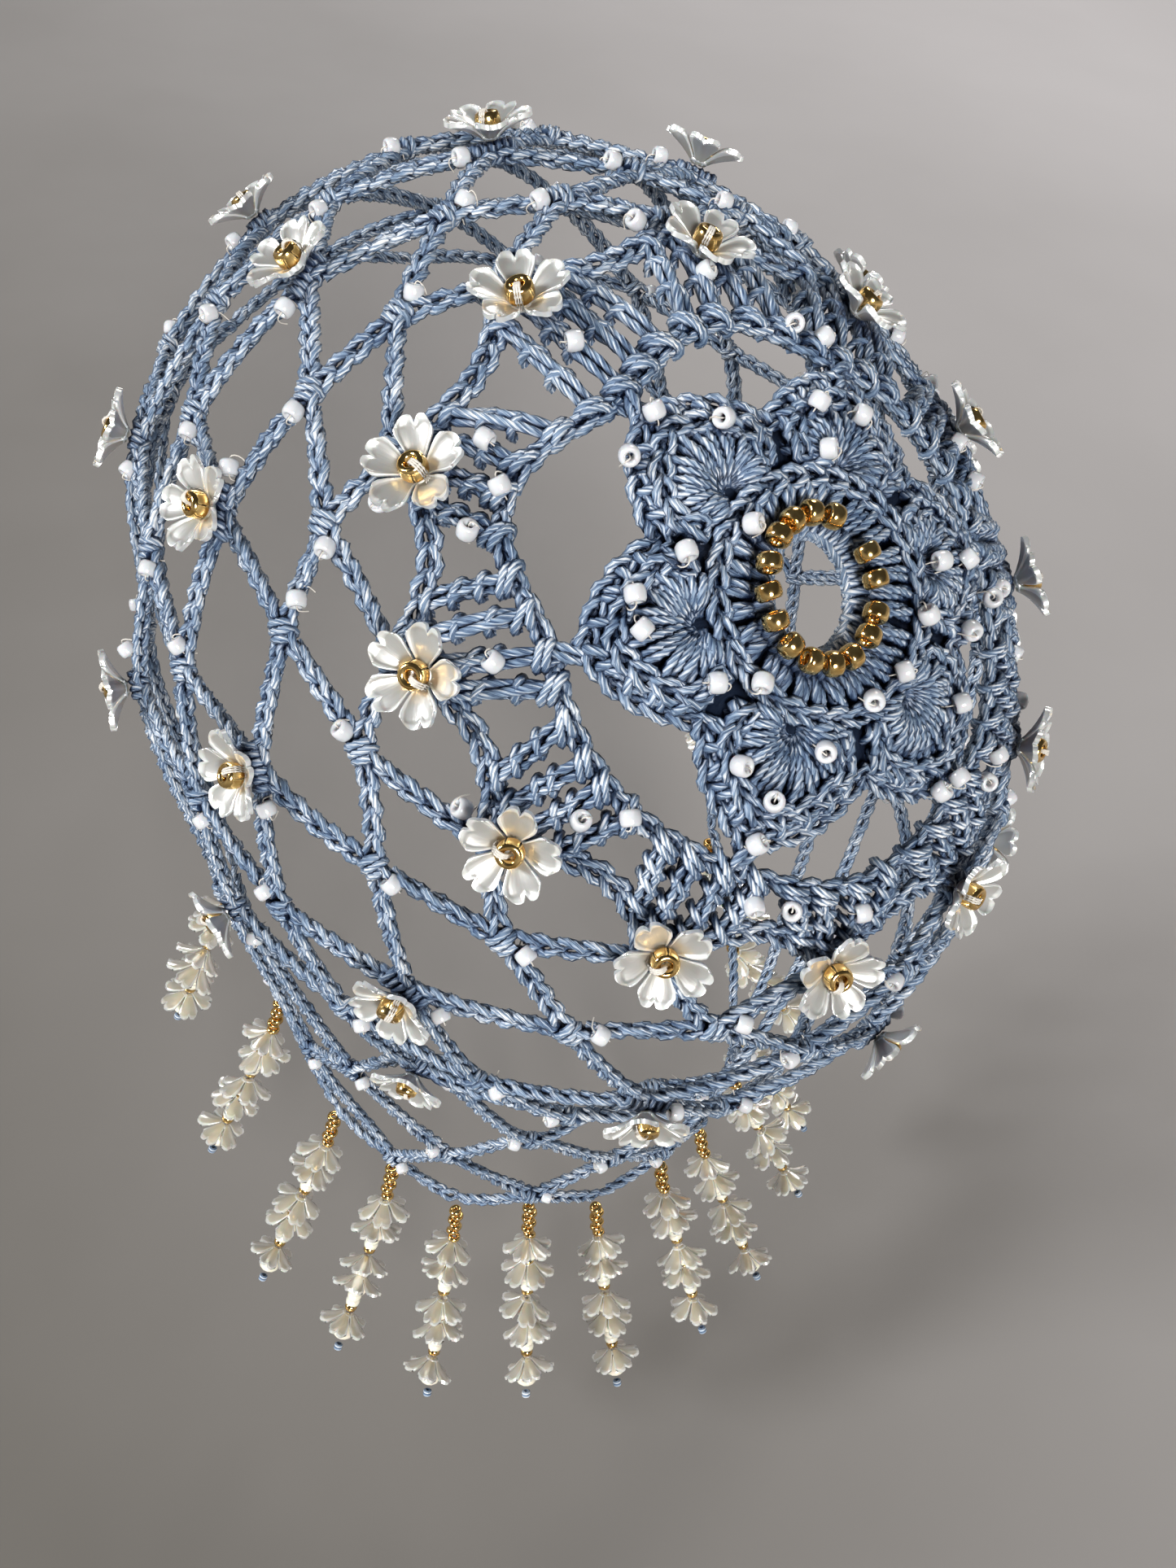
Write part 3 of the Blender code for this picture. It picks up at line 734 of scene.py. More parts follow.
# Ties from the outer edge to each peak of the net
TIE_LIFTS = (1.5, 2.1, 2.0, 1.5)
TIE_FOOT_DEG, TIE_HEAD_DEG = 5.0, 1.5


def petal_phase(turn):
    return 0.5 - 0.5 * np.cos(PETALS * (turn - FIRST_PETAL_TURN))


def band_inner_polar(turn):
    window = np.floor(np.mod(turn - FIRST_PETAL_TURN, 2.0 * math.pi) / PETAL_ANGLE).astype(int) % PETALS
    return BAND_INNER + np.radians(np.array(BAND_WINDOWS_DEG)[window]) * petal_phase(turn)


def band_outer_polar(turn):
    return BAND_OUTER + ROW_LEAN * np.sin(turn) + BAND_PEAK * np.cos(COLUMNS * (turn - FIRST_TURN))


def lay_wrap(shape, spot, way, half_width):
    """One loop of yarn round a post of the map, over its outer side."""
    across = np.array((-way[1], way[0]))
    angle = np.linspace(-WRAP_OVERLAP, math.pi + WRAP_OVERLAP, 13) + chance.normal(0.0, 0.1)
    slant = chance.normal(0.60, 0.15)
    sideways = np.cos(angle) * half_width
    spots = spot + across * sideways[:, None] + way * (sideways * slant)[:, None]
    lift = WRAP_BASE + np.sin(angle) * WRAP_RISE
    shape.yarn(flat(spots[:, 0], spots[:, 1], lift))


def make_band(material):
    """Inner and outer edge, leaning groups of posts under the blossoms, ties and the petals' links."""
    shape = Shape()

    def circle(polar):
        points, outs = head_place(polar, ROUND_TURNS)
        return Course(HEAD_CENTRE + points, outs, closed=True)

    inner = circle(band_inner_polar(ROUND_TURNS) + 0.012)
    lay_chain(shape, inner, 0.0, inner.length, half_width=0.0010, lift=0.0015, stitch=0.0036,
              closed=True)
    outer = circle(band_outer_polar(ROUND_TURNS))
    lay_chain(shape, outer, 0.0, outer.length, lift=0.0018, half_width=0.0014, closed=True)
    for rung in range(BAND_RUNGS):
        offset_deg = BAND_OFFSETS[rung % 4]
        column_turn = net_turn(rung // 4)
        turn = column_turn + math.radians(offset_deg + chance.normal(0.0, 0.4))
        head_turn = column_turn + math.radians(offset_deg * BAND_GATHER + chance.normal(0.0, 0.4))
        foot_polar = float(band_inner_polar(turn)) + BAND_FOOT_IN
        head_polar = float(band_outer_polar(head_turn)) - BAND_HEAD_IN
        foot, head = flat_spot(foot_polar, turn), flat_spot(head_polar, head_turn)
        lay_post(shape, flat, foot, head, BAND_LIFTS, feet=0.82, heads=0.86, turn=2.6)
        way = unit(head - foot)
        span = float(np.linalg.norm(head - foot))
        wraps = [(span * chance.uniform(*shares), MIDDLE_WRAP_WIDTH) for shares in MIDDLE_WRAP_SHARES]
        for wrap, half_width in (*FIRST_WRAPS, *wraps, (span - LAST_WRAP[0], LAST_WRAP[1])):
            lay_wrap(shape, foot + way * wrap, way, half_width)
    for column in range(COLUMNS):
        turn = net_turn(column)
        peak = BAND_TIE_POLAR + ROW_LEAN * math.sin(turn)
        for side in (-1.0, 0.0, 1.0):
            foot_turn = turn + math.radians(side * TIE_FOOT_DEG)
            foot = flat_spot(float(band_outer_polar(foot_turn)) + 0.008, foot_turn)
            head = flat_spot(peak, turn + math.radians(side * TIE_HEAD_DEG))
            lay_post(shape, flat, foot, head, TIE_LIFTS, strands=2, feet=0.6, heads=0.5, turn=1.5,
                     samples=7)
    for petal in range(PETALS):
        turn = petal * PETAL_ANGLE
        along = np.array((math.cos(turn), math.sin(turn)))
        across = np.array((-along[1], along[0]))
        inner_end, outer_end = flat_radius(TIP_POLAR) - 2.0, flat_radius(BAND_INNER) + 1.4
        for side in (-1.0, 1.0):
            foot = along * inner_end + across * side * LINK_HALF
            head = along * outer_end - across * side * LINK_HALF
            height = 1.8 + 0.5 * side
            lifts = (1.6, height, height, 1.6)
            lay_post(shape, flat, foot, head, lifts, strands=2, feet=0.6, heads=0.6, turn=2.5)
    shape.make("band_stitches", material, "cotton_crown", ("trellis_band",))


# Beads
# Radius, radius of the hole, length
RING_BEAD = (0.00182, 0.00055, 0.00235)
BLOSSOM_BEAD = (0.00205, 0.00066, 0.0027)
SEED_BEAD = (0.00150, 0.00048, 0.00235)
STACK_BEAD = (0.0016, 0.0005, 0.00135)
SMALL_BEAD = (0.00155, 0.0005, 0.0019)
TUBE_BEAD = (0.0018, 0.0005, 0.0020)
LAST_BEAD = (0.0011, 0.0002, 0.0016)


def bead_rings(radius, hole, length, around, across):
    """Rings of points of a round bead with a hole, along its axis Z."""
    middle = (radius + hole) / 2.0
    wall = (radius - hole) / 2.0
    angle = np.linspace(0.0, 2.0 * math.pi, across, endpoint=False)
    reach = middle + wall * np.sign(np.cos(angle)) * np.abs(np.cos(angle)) ** 0.8
    height = length / 2.0 * np.sign(np.sin(angle)) * np.abs(np.sin(angle)) ** 0.8
    turn = np.linspace(0.0, 2.0 * math.pi, around, endpoint=False)
    return np.stack((
        np.cos(turn)[:, None] * reach[None, :],
        np.sin(turn)[:, None] * reach[None, :],
        np.ones(around)[:, None] * height[None, :],
    ), axis=-1)


def axis_matrix(axis, spin=0.0):
    """Columns of a frame whose Z is the axis."""
    axis = Vector(axis).normalized()
    turn = Vector((0.0, 0.0, 1.0)).rotation_difference(axis).to_matrix() @ Matrix.Rotation(spin, 3, "Z")
    return np.array(turn)


def add_bead(shape, centre, axis, bead, around=16, across=10):
    rings = bead_rings(*bead, around, across)
    points = rings @ axis_matrix(axis).T + centre
    lengthwise, sideways = np.linspace(0.0, 1.0, around + 1), np.linspace(0.0, 1.0, across + 1)
    shape.grid(points, lengthwise, sideways, wrap_rings=True)


def make_bead_ring(material):
    shape = Shape()
    place = 2.0 * math.pi / RING_PLACES
    lift = ROSETTE_THICKNESS + RING_BEAD_RADIUS + 0.0002

    def spot(angle):
        polar, turn = oval_place(angle, RING_SHORT, RING_LONG)
        return crown_point(polar, turn, lift)

    for index in range(1, RING_PLACES):
        angle = RING_EMPTY_ANGLE + index * place + chance.normal(0.0, 0.02)
        ahead = spot(angle + 0.02) - spot(angle - 0.02)
        tilt = chance.normal(0.0, 0.10, 3) * np.linalg.norm(ahead)
        add_bead(shape, spot(angle), ahead + tilt, RING_BEAD, around=22, across=14)
    shape.make("ring_beads", material, "gold_bead", ("bead_ring",))


# Blossoms
PETAL_FOLD = 0.235
PETAL_ROOT = 0.0009
PETAL_HALF_WIDTH = 0.00270
PETAL_THICKNESS = 0.00040
PETAL_RIM = 0.00034
PETAL_LIFT = 0.0003
BLOSSOM_MIDDLE = (0.0018, 0.00035, 0.0007)
MIDDLE_LIFT = 0.0007
BEAD_LIFT = 0.0028
BLOSSOM_THREAD_RADIUS = 0.00020
PETAL_SIDE = np.array((0.0, 0.10, 0.20, 0.38, 0.56, 0.70, 0.81, 0.92, 1.0))
PETAL_TIP = np.array((0.84, 0.92, 0.985, 1.0, 0.985, 0.955, 0.91, 0.84, 0.74))
PETAL_ALONG = np.array((0.0, 0.20, 0.42, 0.62, 0.78, 0.88, 0.95, 1.0))
PETAL_WIDTH = np.array((0.24, 0.42, 0.72, 0.94, 1.0, 0.97, 0.91, 0.86))


def petal_grid(length, half_width, closing, fine):
    """Top and bottom points of one cupped, notched petal that points along +X."""
    side = np.concatenate((-PETAL_SIDE[:0:-1], PETAL_SIDE))
    tip = np.concatenate((PETAL_TIP[:0:-1], PETAL_TIP))
    along, width = PETAL_ALONG, PETAL_WIDTH
    if not fine:
        side, tip = side[::2], tip[::2]
        along, width = along[[0, 2, 4, 7]], width[[0, 2, 4, 7]]
    reach = along[:, None] * (1.0 + (tip[None, :] - 1.0) * along[:, None] ** 2) * length
    across = side[None, :] * width[:, None] * half_width * np.ones_like(reach)
    share = reach / length
    bend = closing * (1.20 - 0.40 * share)
    dish = 0.62 * half_width * side[None, :] ** 2 * share * (1.35 - share)
    x = PETAL_ROOT + reach * np.cos(bend)
    z = reach * np.sin(bend) + dish
    side_edge = np.clip((np.abs(side)[None, :] - 0.80) / 0.12, 0.0, 1.0)
    tip_edge = np.clip((along[:, None] - 0.88) / 0.07, 0.0, 1.0)
    rim = PETAL_RIM * np.maximum(side_edge, tip_edge)
    half = PETAL_THICKNESS / 2.0
    top = np.stack((x, across, z + half + rim), axis=-1)
    low = np.stack((x + PETAL_THICKNESS * 0.4 * np.sin(bend), across * 0.985, z - half), axis=-1)
    return top, low, along


def add_petal(shape, grid, turn, matrix, centre):
    top, low, along = grid
    rows, sides = top.shape[:2]
    cos, sin = math.cos(turn), math.sin(turn)
    spin = np.array(((cos, -sin, 0.0), (sin, cos, 0.0), (0.0, 0.0, 1.0)))
    both = np.concatenate((top, low[:, ::-1]), axis=1) @ spin.T @ matrix.T + centre
    u = np.append(along, 1.0)
    v = np.linspace(0.0, 1.0, 2 * sides + 1)
    shape.grid(both, u, v)
    for row, flip in ((0, True), (rows - 1, False)):
        ring = both[row]
        strip = np.arange(sides - 1)
        faces = np.stack((strip, strip + 1, 2 * sides - 2 - strip, 2 * sides - 1 - strip), axis=1)
        if flip:
            faces = faces[:, ::-1]
        shape.add(ring, faces, np.full((len(faces), 4, 2), (along[row], 0.5)))


def add_blossom(shape, centre, axis, spin, radius=BLOSSOM_RADIUS, closing=0.56, fine=True):
    """Five cupped petals round a small dished middle."""
    matrix = axis_matrix(axis, spin)
    up = matrix @ np.array((0.0, 0.0, 1.0))
    length = (radius - PETAL_ROOT) / math.cos(closing)
    grid = petal_grid(length, PETAL_HALF_WIDTH * radius / BLOSSOM_RADIUS, closing, fine)
    for petal in range(BLOSSOM_PETALS):
        add_petal(shape, grid, petal * 2.0 * math.pi / BLOSSOM_PETALS, matrix, centre + up * PETAL_LIFT)
    rings = bead_rings(*BLOSSOM_MIDDLE, 15, 6) @ matrix.T + centre + up * MIDDLE_LIFT
    shape.grid(rings, np.zeros(16), np.zeros(7), wrap_rings=True)


def blossom_place(row_name, row, column):
    """Point under a blossom, the way it faces, and two directions across."""
    if row_name == "crown":
        point, normal = head_place(*crown_blossom_spot(column))
        point = HEAD_CENTRE + point
        _, along, _ = knot_frame(row, column)
        along = unit(along - normal * (along @ normal))
        return point, normal, along, np.cross(normal, along)
    point, _ = net_place(row, column)
    return (point, *knot_frame(row, column))


def make_blossoms(pearl, gold, thread):
    beads = Shape()
    threads = Shape()
    for row_name, row in BLOSSOM_ROWS:
        shape = Shape()
        nodes = []
        for index in range(COLUMNS):
            column = index if row % 2 else index + 0.5
            point, normal, along, down = blossom_place(row_name, row, column)
            axis = unit(normal + along * chance.normal(0.0, 0.06) + down * chance.normal(0.0, 0.06))
            centre = point + normal * (BLOSSOM_SEAT + 0.0001)
            spin = chance.uniform(0.0, 2.0 * math.pi / BLOSSOM_PETALS)
            add_blossom(shape, centre, axis, spin)
            nodes.append("blossom_%s_%02d" % (row_name, index + 1))
            bead_axis = unit(axis + along * chance.normal(0.0, 0.13) + down * chance.normal(0.0, 0.13))
            bead_centre = centre + axis * BEAD_LIFT
            add_bead(beads, bead_centre, bead_axis, BLOSSOM_BEAD, around=24, across=16)
            side = unit(np.cross(bead_axis, unit(along * chance.normal() + down * chance.normal())))
            for offset in (-0.00034, 0.0, 0.00034):
                slip = np.cross(bead_axis, side) * offset
                controls = (
                    bead_centre - bead_axis * 0.0012 + slip * 0.5,
                    bead_centre + bead_axis * 0.0008 + slip * 0.6,
                    bead_centre + bead_axis * 0.00170 + side * 0.0007 + slip * 0.8,
                    bead_centre + bead_axis * 0.00140 + side * 0.0016 + slip,
                    bead_centre + bead_axis * 0.0001 + side * 0.0023 + slip,
                    bead_centre - bead_axis * 0.0016 + side * 0.0021 + slip,
                )
                threads.tube(smooth_path(controls, 12), BLOSSOM_THREAD_RADIUS, lobe=0.08, twist=0.0015)
        shape.make("blossoms_" + row_name, pearl, "pearl_blossom", nodes)
    beads.make("blossom_beads", gold, "gold_bead")
    threads.make("blossom_threads", thread, "pearl_blossom")


# Seed beads
# Charts, drawn one for each petal or column: a line for each ring, outwards, and o for a bead
PETAL_RINGS_DEG = (9.0, 12.7, 16.4, 20.0)
PETAL_CHART_STEP_DEG = 12.0
PETAL_BEADS = (
    (".....", "o...o", ".oo..", "....."),
    ("o....", "...o.", ".oo..", "..o.."),
    ("o.o..", ".....", "...o.", ".oo.."),
    ("o....", "..o..", "o.o..", ".o..."),
    (".....", "...o.", "..oo.", "....."),
    ("...o.", ".....", ".o...", "..oo."),
)
BAND_RING_SHARES = (0.12, 0.45)
SEED_THREAD_RADIUS = 0.00011
BAND_CHART_STEP_DEG = 7.5
BAND_BEADS = (
    ("..o.", ".o.o"),
    ("....", "..o."),
    ("...o", "..o."),
    ("....", "...o"),
    ("....", "o.o."),
    ("....", "...o"),
    ("....", "o..."),
    (".o..", "...."),
    ("....", "oo.."),
    ("...o", "...."),
    ("o...", "..o."),
    ("....", "..o."),
)


def charted(chart, rings, step_deg):
    """Ring and turn of each bead in a chart, whose middle is turn 0, with a small offset by chance."""
    for line, ring in zip(chart, rings):
        for index, mark in enumerate(line):
            if mark == "o":
                offset_deg = (index - (len(line) - 1) / 2.0 + chance.normal(0.0, 0.12)) * step_deg
                yield ring, math.radians(offset_deg)


def add_seed(beads, threads, centre, outward, along, hole_turn):
    """A small pearl bead with the thread that holds it down."""
    axis = unit(outward * math.sin(hole_turn) + along * math.cos(hole_turn))
    add_bead(beads, centre, axis, SEED_BEAD)
    side = unit(np.cross(axis, outward + 0.3 * along))
    controls = (
        centre - axis * 0.0008,
        centre + axis * 0.0011,
        centre + axis * 0.0018 + side * 0.0004 - outward * 0.0003,
        centre + axis * 0.0017 + side * 0.0010 - outward * 0.0013,
        centre + axis * 0.0009 + side * 0.0012 - outward * 0.0024,
    )
    threads.tube(smooth_path(controls, 10), SEED_THREAD_RADIUS, 5)
    tail = centre - axis * 0.0016
    controls = (centre - axis * 0.0008, tail - outward * 0.0004, tail - outward * 0.0022)
    threads.tube(smooth_path(controls, 7), SEED_THREAD_RADIUS, 5)


def make_seed_beads(pearl, thread):
    beads = Shape()
    threads = Shape()

    def add_map_bead(polar, turn, lift):
        centre = crown_point(polar, turn, lift)
        _, normal = head_place(polar, turn)
        along = unit(np.cross(normal, chance.normal(0.0, 1.0, 3)))
        add_seed(beads, threads, centre, normal, along, chance.uniform(0.0, 1.1))

    for petal, chart in enumerate(PETAL_BEADS):
        for polar_deg, offset in charted(chart, PETAL_RINGS_DEG, PETAL_CHART_STEP_DEG):
            polar = math.radians(polar_deg + chance.normal(0.0, 0.4))
            add_map_bead(polar, FIRST_PETAL_TURN + petal * PETAL_ANGLE + offset, 0.0047)
    for column, chart in enumerate(BAND_BEADS):
        for share, offset in charted(chart, BAND_RING_SHARES, BAND_CHART_STEP_DEG):
            turn = net_turn(column) + offset
            polar = lerp(float(band_inner_polar(turn)), float(band_outer_polar(turn)), share)
            add_map_bead(polar, turn, 0.0036)
    for row, column in knots(1, LAST_ROW):
        if row == 1 and column % 2:
            continue
        point, _ = net_place(row, column)
        normal, along, down = knot_frame(row, column)
        side = 1.0 if chance.random() < 0.65 else -1.0
        reach = 0.0062 if row in BLOSSOM_COILS else 0.0036
        centre = point + normal * 0.0026 + along * side * reach + down * chance.normal(0.0012, 0.0012)
        add_seed(beads, threads, centre, normal, along * side, chance.uniform(-0.3, 0.9))
    beads.make("seed_beads", pearl, "pearl_blossom")
    threads.make("seed_threads", thread, "pearl_blossom")


# Fringe
def strand_course(column):
    """The line of a strand that hangs from the rim and then lies back."""
    row = LAST_ROW if column == int(column) else LAST_ROW - 1
    start, normal = net_place(row, column)
    low, _ = net_place(LAST_ROW, column)
    high, _ = net_place(LAST_ROW - 2, column)
    start = start + normal * (CHAIN_THICKNESS / 2.0)
    start = start + unit(low - high) * (CHAIN_WIDTH / 2.0 + STRAND_TOP_GAP)
    angle = away_from_nape(net_turn(column)) * NECK_SPREAD
    ear = smooth_step((abs(math.degrees(angle)) - 70.0) / 45.0)
    swing = lerp(STRAND_SWING, STRAND_EAR_SWING, ear)
    facing = angle * STRAND_GATHER + STRAND_LEAN
    outward = np.array((math.sin(facing), math.cos(facing), 0.0))
    points = [start]
    step = STRAND_LENGTH / STRAND_PATH_STEPS
    for index in range(STRAND_PATH_STEPS):
        bend = smooth_step((index + 0.5) * step / STRAND_BEND)
        tilt = lerp(STRAND_FIRST_SWING, swing, bend)
        heading = outward * math.sin(tilt) - np.array((0.0, 0.0, math.cos(tilt)))
        points.append(points[-1] + heading * step)
    points = np.array(points)
    ahead = unit(np.gradient(points, axis=0))
    sideways = unit(np.cross((0.0, 0.0, 1.0), outward))
    return Course(points, np.cross(sideways, ahead))


# What is threaded on a strand, by its middle's share of the length
GOLD_STACK = (0.066, 0.096, 0.126, 0.156, 0.186, 0.216)
GOLD_SMALL = (0.346, 0.480, 0.614, 0.764)
BELLS = (0.235, 0.335, 0.510, 0.605, 0.790)
BELL_RADII = (0.0060, 0.0062, 0.0061, 0.0062, 0.0060)
DROPS = (0.300, 0.396, 0.568, 0.664, 0.880)
TUBES = (0.436, 0.458, 0.712, 0.738)
LAST_SHARE = 0.965
DROP_RADIUS = 0.0023
DROP_LENGTH = 0.0050
STRAND_THREAD_RADIUS = 0.00055


def add_drop(shape, centre, axis, radius, length):
    """A teardrop bead, its thick end down the strand."""
    share = np.linspace(0.0, 1.0, 9)
    turn = np.linspace(0.0, 2.0 * math.pi, 13)
    reach = radius * np.sin(math.pi * share ** 1.5) ** 0.8 + 0.0003
    rings = np.stack((
        np.outer(reach, np.cos(turn[:-1])),
        np.outer(reach, np.sin(turn[:-1])),
        np.outer((share - 0.5) * length, np.ones(12)),
    ), axis=-1)
    points = rings @ axis_matrix(axis).T + centre
    shape.grid(points, share, turn / turn[-1])
    shape.cap(points[0], (0.0, 0.5), True)
    shape.cap(points[-1], (1.0, 0.5), False)


def make_fringe(pearl, cream, gold, yarn):
    bells, drops, beads, ends = Shape(), Shape(), Shape(), Shape()
    for column in STRAND_COLUMNS:
        course = strand_course(column)

        def at(share):
            where = share * course.length
            centre = course.place(np.array([where]), np.zeros(1), np.zeros(1))[0]
            ahead = course.place(np.array([where + 0.0005, where - 0.0005]), np.zeros(2), np.zeros(2))
            return centre, unit(ahead[0] - ahead[1])

        for step, share in enumerate(GOLD_STACK):
            centre, axis = at(share)
            centre = centre + course.across[0] * (0.0003 if step % 2 else -0.0003)
            add_bead(beads, centre, axis + chance.normal(0.0, 0.14, 3), STACK_BEAD, 14, 10)
        for share in GOLD_SMALL:
            centre, axis = at(share)
            add_bead(beads, centre, axis + chance.normal(0.0, 0.12, 3), SMALL_BEAD, 14, 8)
        for share, radius in zip(BELLS, BELL_RADII):
            centre, axis = at(share)
            tilted, spin = axis + chance.normal(0.0, 0.17, 3), chance.uniform(0.0, 1.25)
            closing = chance.uniform(0.46, 0.70)
            add_blossom(bells, centre, tilted, spin, radius, closing=closing, fine=False)
        for share in DROPS:
            centre, axis = at(share)
            add_drop(drops, centre, axis, DROP_RADIUS, DROP_LENGTH)
        for share in TUBES:
            centre, axis = at(share)
            add_bead(drops, centre, axis, TUBE_BEAD, 12, 8)
        steps = np.linspace(-0.02, 0.06, 6) * course.length
        thread = course.place(steps, np.zeros(6), np.zeros(6))
        ends.tube(thread, STRAND_THREAD_RADIUS, lobe=0.12, twist=YARN_TWIST)
        centre, axis = at(LAST_SHARE)
        add_bead(ends, centre, axis, LAST_BEAD, 10, 8)
    nodes = ["fringe_strand_%02d" % (index + 1) for index in range(len(STRAND_COLUMNS))]
    bells.make("fringe_blossoms", pearl, "pearl_fringe", nodes)
    drops.make("fringe_drops", cream, "pearl_fringe", nodes)
    beads.make("fringe_gold", gold, "gold_bead", nodes)
    ends.make("fringe_ends", yarn, "cotton_net", nodes)


# Materials
class Paint:
    """A node tree with short ways to add nodes. Each input takes a value or another node's output."""

    def __init__(self, tree):
        self.tree = tree

    def feed(self, node, inputs):
        for key, value in inputs.items():
            if isinstance(value, bpy.types.NodeSocket):
                self.tree.links.new(value, node.inputs[key])
            else:
                node.inputs[key].default_value = value

    def node(self, kind, inputs=None, **settings):
        node = self.tree.nodes.new(kind)
        for key, value in settings.items():
            setattr(node, key, value)
        self.feed(node, inputs or {})
        return node

    def uv(self):
        return self.node("ShaderNodeUVMap", uv_map="UVMap").outputs["UV"]

    def place(self, space="Object"):
        return self.node("ShaderNodeTexCoord").outputs[space]

    def parts(self, vector):
        return self.node("ShaderNodeSeparateXYZ", {"Vector": vector}).outputs

    def noise(self, vector, scale, detail=2.0):
        inputs = {"Vector": vector, "Scale": scale, "Detail": detail}
        return self.node("ShaderNodeTexNoise", inputs).outputs["Fac"]

    def streaks(self, along, around, detail):
        """Noise drawn out along the UV."""
        stretch = self.node("ShaderNodeMapping", {"Vector": self.uv(), "Scale": (along, around, 1.0)})
        return self.noise(stretch.outputs["Vector"], 1.0, detail)

    def sum(self, kind, *values):
        return self.node("ShaderNodeMath", dict(enumerate(values)), operation=kind).outputs[0]

    def remap(self, value, low, high, to_low=0.0, to_high=1.0):
        names = ("Value", "From Min", "From Max", "To Min", "To Max")
        inputs = dict(zip(names, (value, low, high, to_low, to_high)))
        return self.node("ShaderNodeMapRange", inputs).outputs[0]

    def ramp(self, value, *stops):
        """Colour by value, from stops of a position and a colour."""
        node = self.node("ShaderNodeValToRGB", {"Fac": value})
        elements = node.color_ramp.elements
        elements[0].position, elements[1].position = stops[0][0], stops[-1][0]
        elements[0].color, elements[1].color = (*stops[0][1], 1.0), (*stops[-1][1], 1.0)
        for position, colour in stops[1:-1]:
            elements.new(position).color = (*colour, 1.0)
        return node.outputs["Color"]

    def mix(self, factor, first, second, kind="MIX"):
        inputs = {"Factor": factor, "A": first, "B": second}
        return self.node("ShaderNodeMix", inputs, data_type="RGBA", blend_type=kind).outputs["Result"]

    def bump(self, height, strength, distance):
        inputs = {"Height": height, "Strength": strength, "Distance": distance}
        return self.node("ShaderNodeBump", inputs).outputs["Normal"]


def new_paint(name):
    material = bpy.data.materials.new(name)
    material.use_nodes = True
    return material, Paint(material.node_tree), material.node_tree.nodes["Principled BSDF"]


# Dark, middle and light yarn tones: the marl between them is the yarn's own colour; the near-white light tone
# is a painted sheen of mercerised cotton
YARN_MARL_AND_SHEEN_COLOURS = ((0.032, 0.066, 0.145), (0.235, 0.335, 0.475), (0.98, 0.99, 1.00))
# Darker copy of the yarn's colours: painted shade for the ground that shows between the rosette's stitches
SHADE_COLOURS = ((0.012, 0.022, 0.050), (0.032, 0.055, 0.105), (0.07, 0.11, 0.19))
# Painted shade: colour multipliers by ambient occlusion, deep blue in the crevices between strands and
# stitches, white in the open
PAINTED_CREVICE_SHADE_TINTS = ((0.28, (0.018, 0.036, 0.090)), (0.54, (0.40, 0.48, 0.62)), (0.78, (1.0, 1.0, 1.0)))


def yarn_material(name, dark, middle, light):
    """Loosely twisted cotton: fibres along the UV, wandering light and dark, a painted sheen in its palest
    fibres, and painted shade that darkens the grooves between plies and, deep blue, the crevices.
    """
    material, paint, shader = new_paint(name)
    around = paint.parts(paint.uv())["Y"]
    # The grooves between plies feed the bump and the colour tone; in the colour they are painted shade
    groove_bump_and_shade = paint.sum("COSINE", paint.sum("MULTIPLY", around, 2.0 * math.pi * YARN_STRANDS))
    height = paint.sum("MULTIPLY_ADD", groove_bump_and_shade, YARN_GROOVE_BUMP_AND_SHADE, paint.streaks(0.45, 26.0, 3.0))
    tone = paint.sum("MULTIPLY_ADD", paint.streaks(0.30, 5.0, 1.0), YARN_TUFTS, height)
    tone = paint.sum("MULTIPLY_ADD", paint.noise(paint.place(), 150.0), YARN_WANDER, tone)
    # Tone to colour: the near-white top is painted sheen along the fibres, the dark end carries the painted
    # groove shade
    colour = paint.ramp(paint.remap(tone, 0.59, 1.31), (0.12, dark), (0.52, middle), (0.86, light))
    # Painted shade: ambient occlusion darkens the colour to deep blue in the crevices
    crevice_shade_ao = paint.node("ShaderNodeAmbientOcclusion", {"Distance": 0.0036}, samples=6)
    painted_crevice_shade = paint.ramp(crevice_shade_ao.outputs["AO"], *PAINTED_CREVICE_SHADE_TINTS)
    paint.feed(shader, {
        "Base Color": paint.mix(1.0, colour, painted_crevice_shade, "MULTIPLY"),
        "Normal": paint.bump(height, 1.0, 0.00034),
        "Roughness": 0.38,
        "Specular IOR Level": 0.45,
    })
    return material


def pearl_material(name, colour, warm_base_reflection, roughness, metallic, coat, rim=None, clear=0.0):
    """Pearl lustre, with a painted warm reflection of the gold bead towards the base of a petal, faint
    streaks along it and a rim made paler as painted highlight.
    """
    material, paint, shader = new_paint(name)
    parts = paint.parts(paint.uv())
    streaks = paint.streaks(2.0, 40.0, 2.0)
    # Painted reflection: the colour turns warmer towards the petal's base, as the gold bead reflects there
    base = paint.mix(paint.remap(parts["X"], 0.0, 0.55), (*warm_base_reflection, 1.0), (*colour, 1.0))
    # Painted highlight: the rim of each petal is paler, where it catches the light
    if rim is not None:
        side = paint.remap(paint.sum("PINGPONG", parts["Y"], PETAL_FOLD), 0.055, 0.040)
        tip = paint.remap(parts["X"], 0.86, 0.92)
        base = paint.mix(paint.sum("MAXIMUM", side, tip), base, (*rim, 1.0))
    paint.feed(shader, {
        "Base Color": base,
        "Roughness": paint.remap(streaks, 0.0, 1.0, roughness - 0.08, roughness + 0.10),
        "Normal": paint.bump(streaks, 0.25, 0.0001),
        "Metallic": metallic,
        "Coat Weight": coat,
        "Coat Roughness": 0.12,
        "Subsurface Weight": 0.15,
        "Subsurface Scale": 0.002,
        "Transmission Weight": clear,
    })
    return material


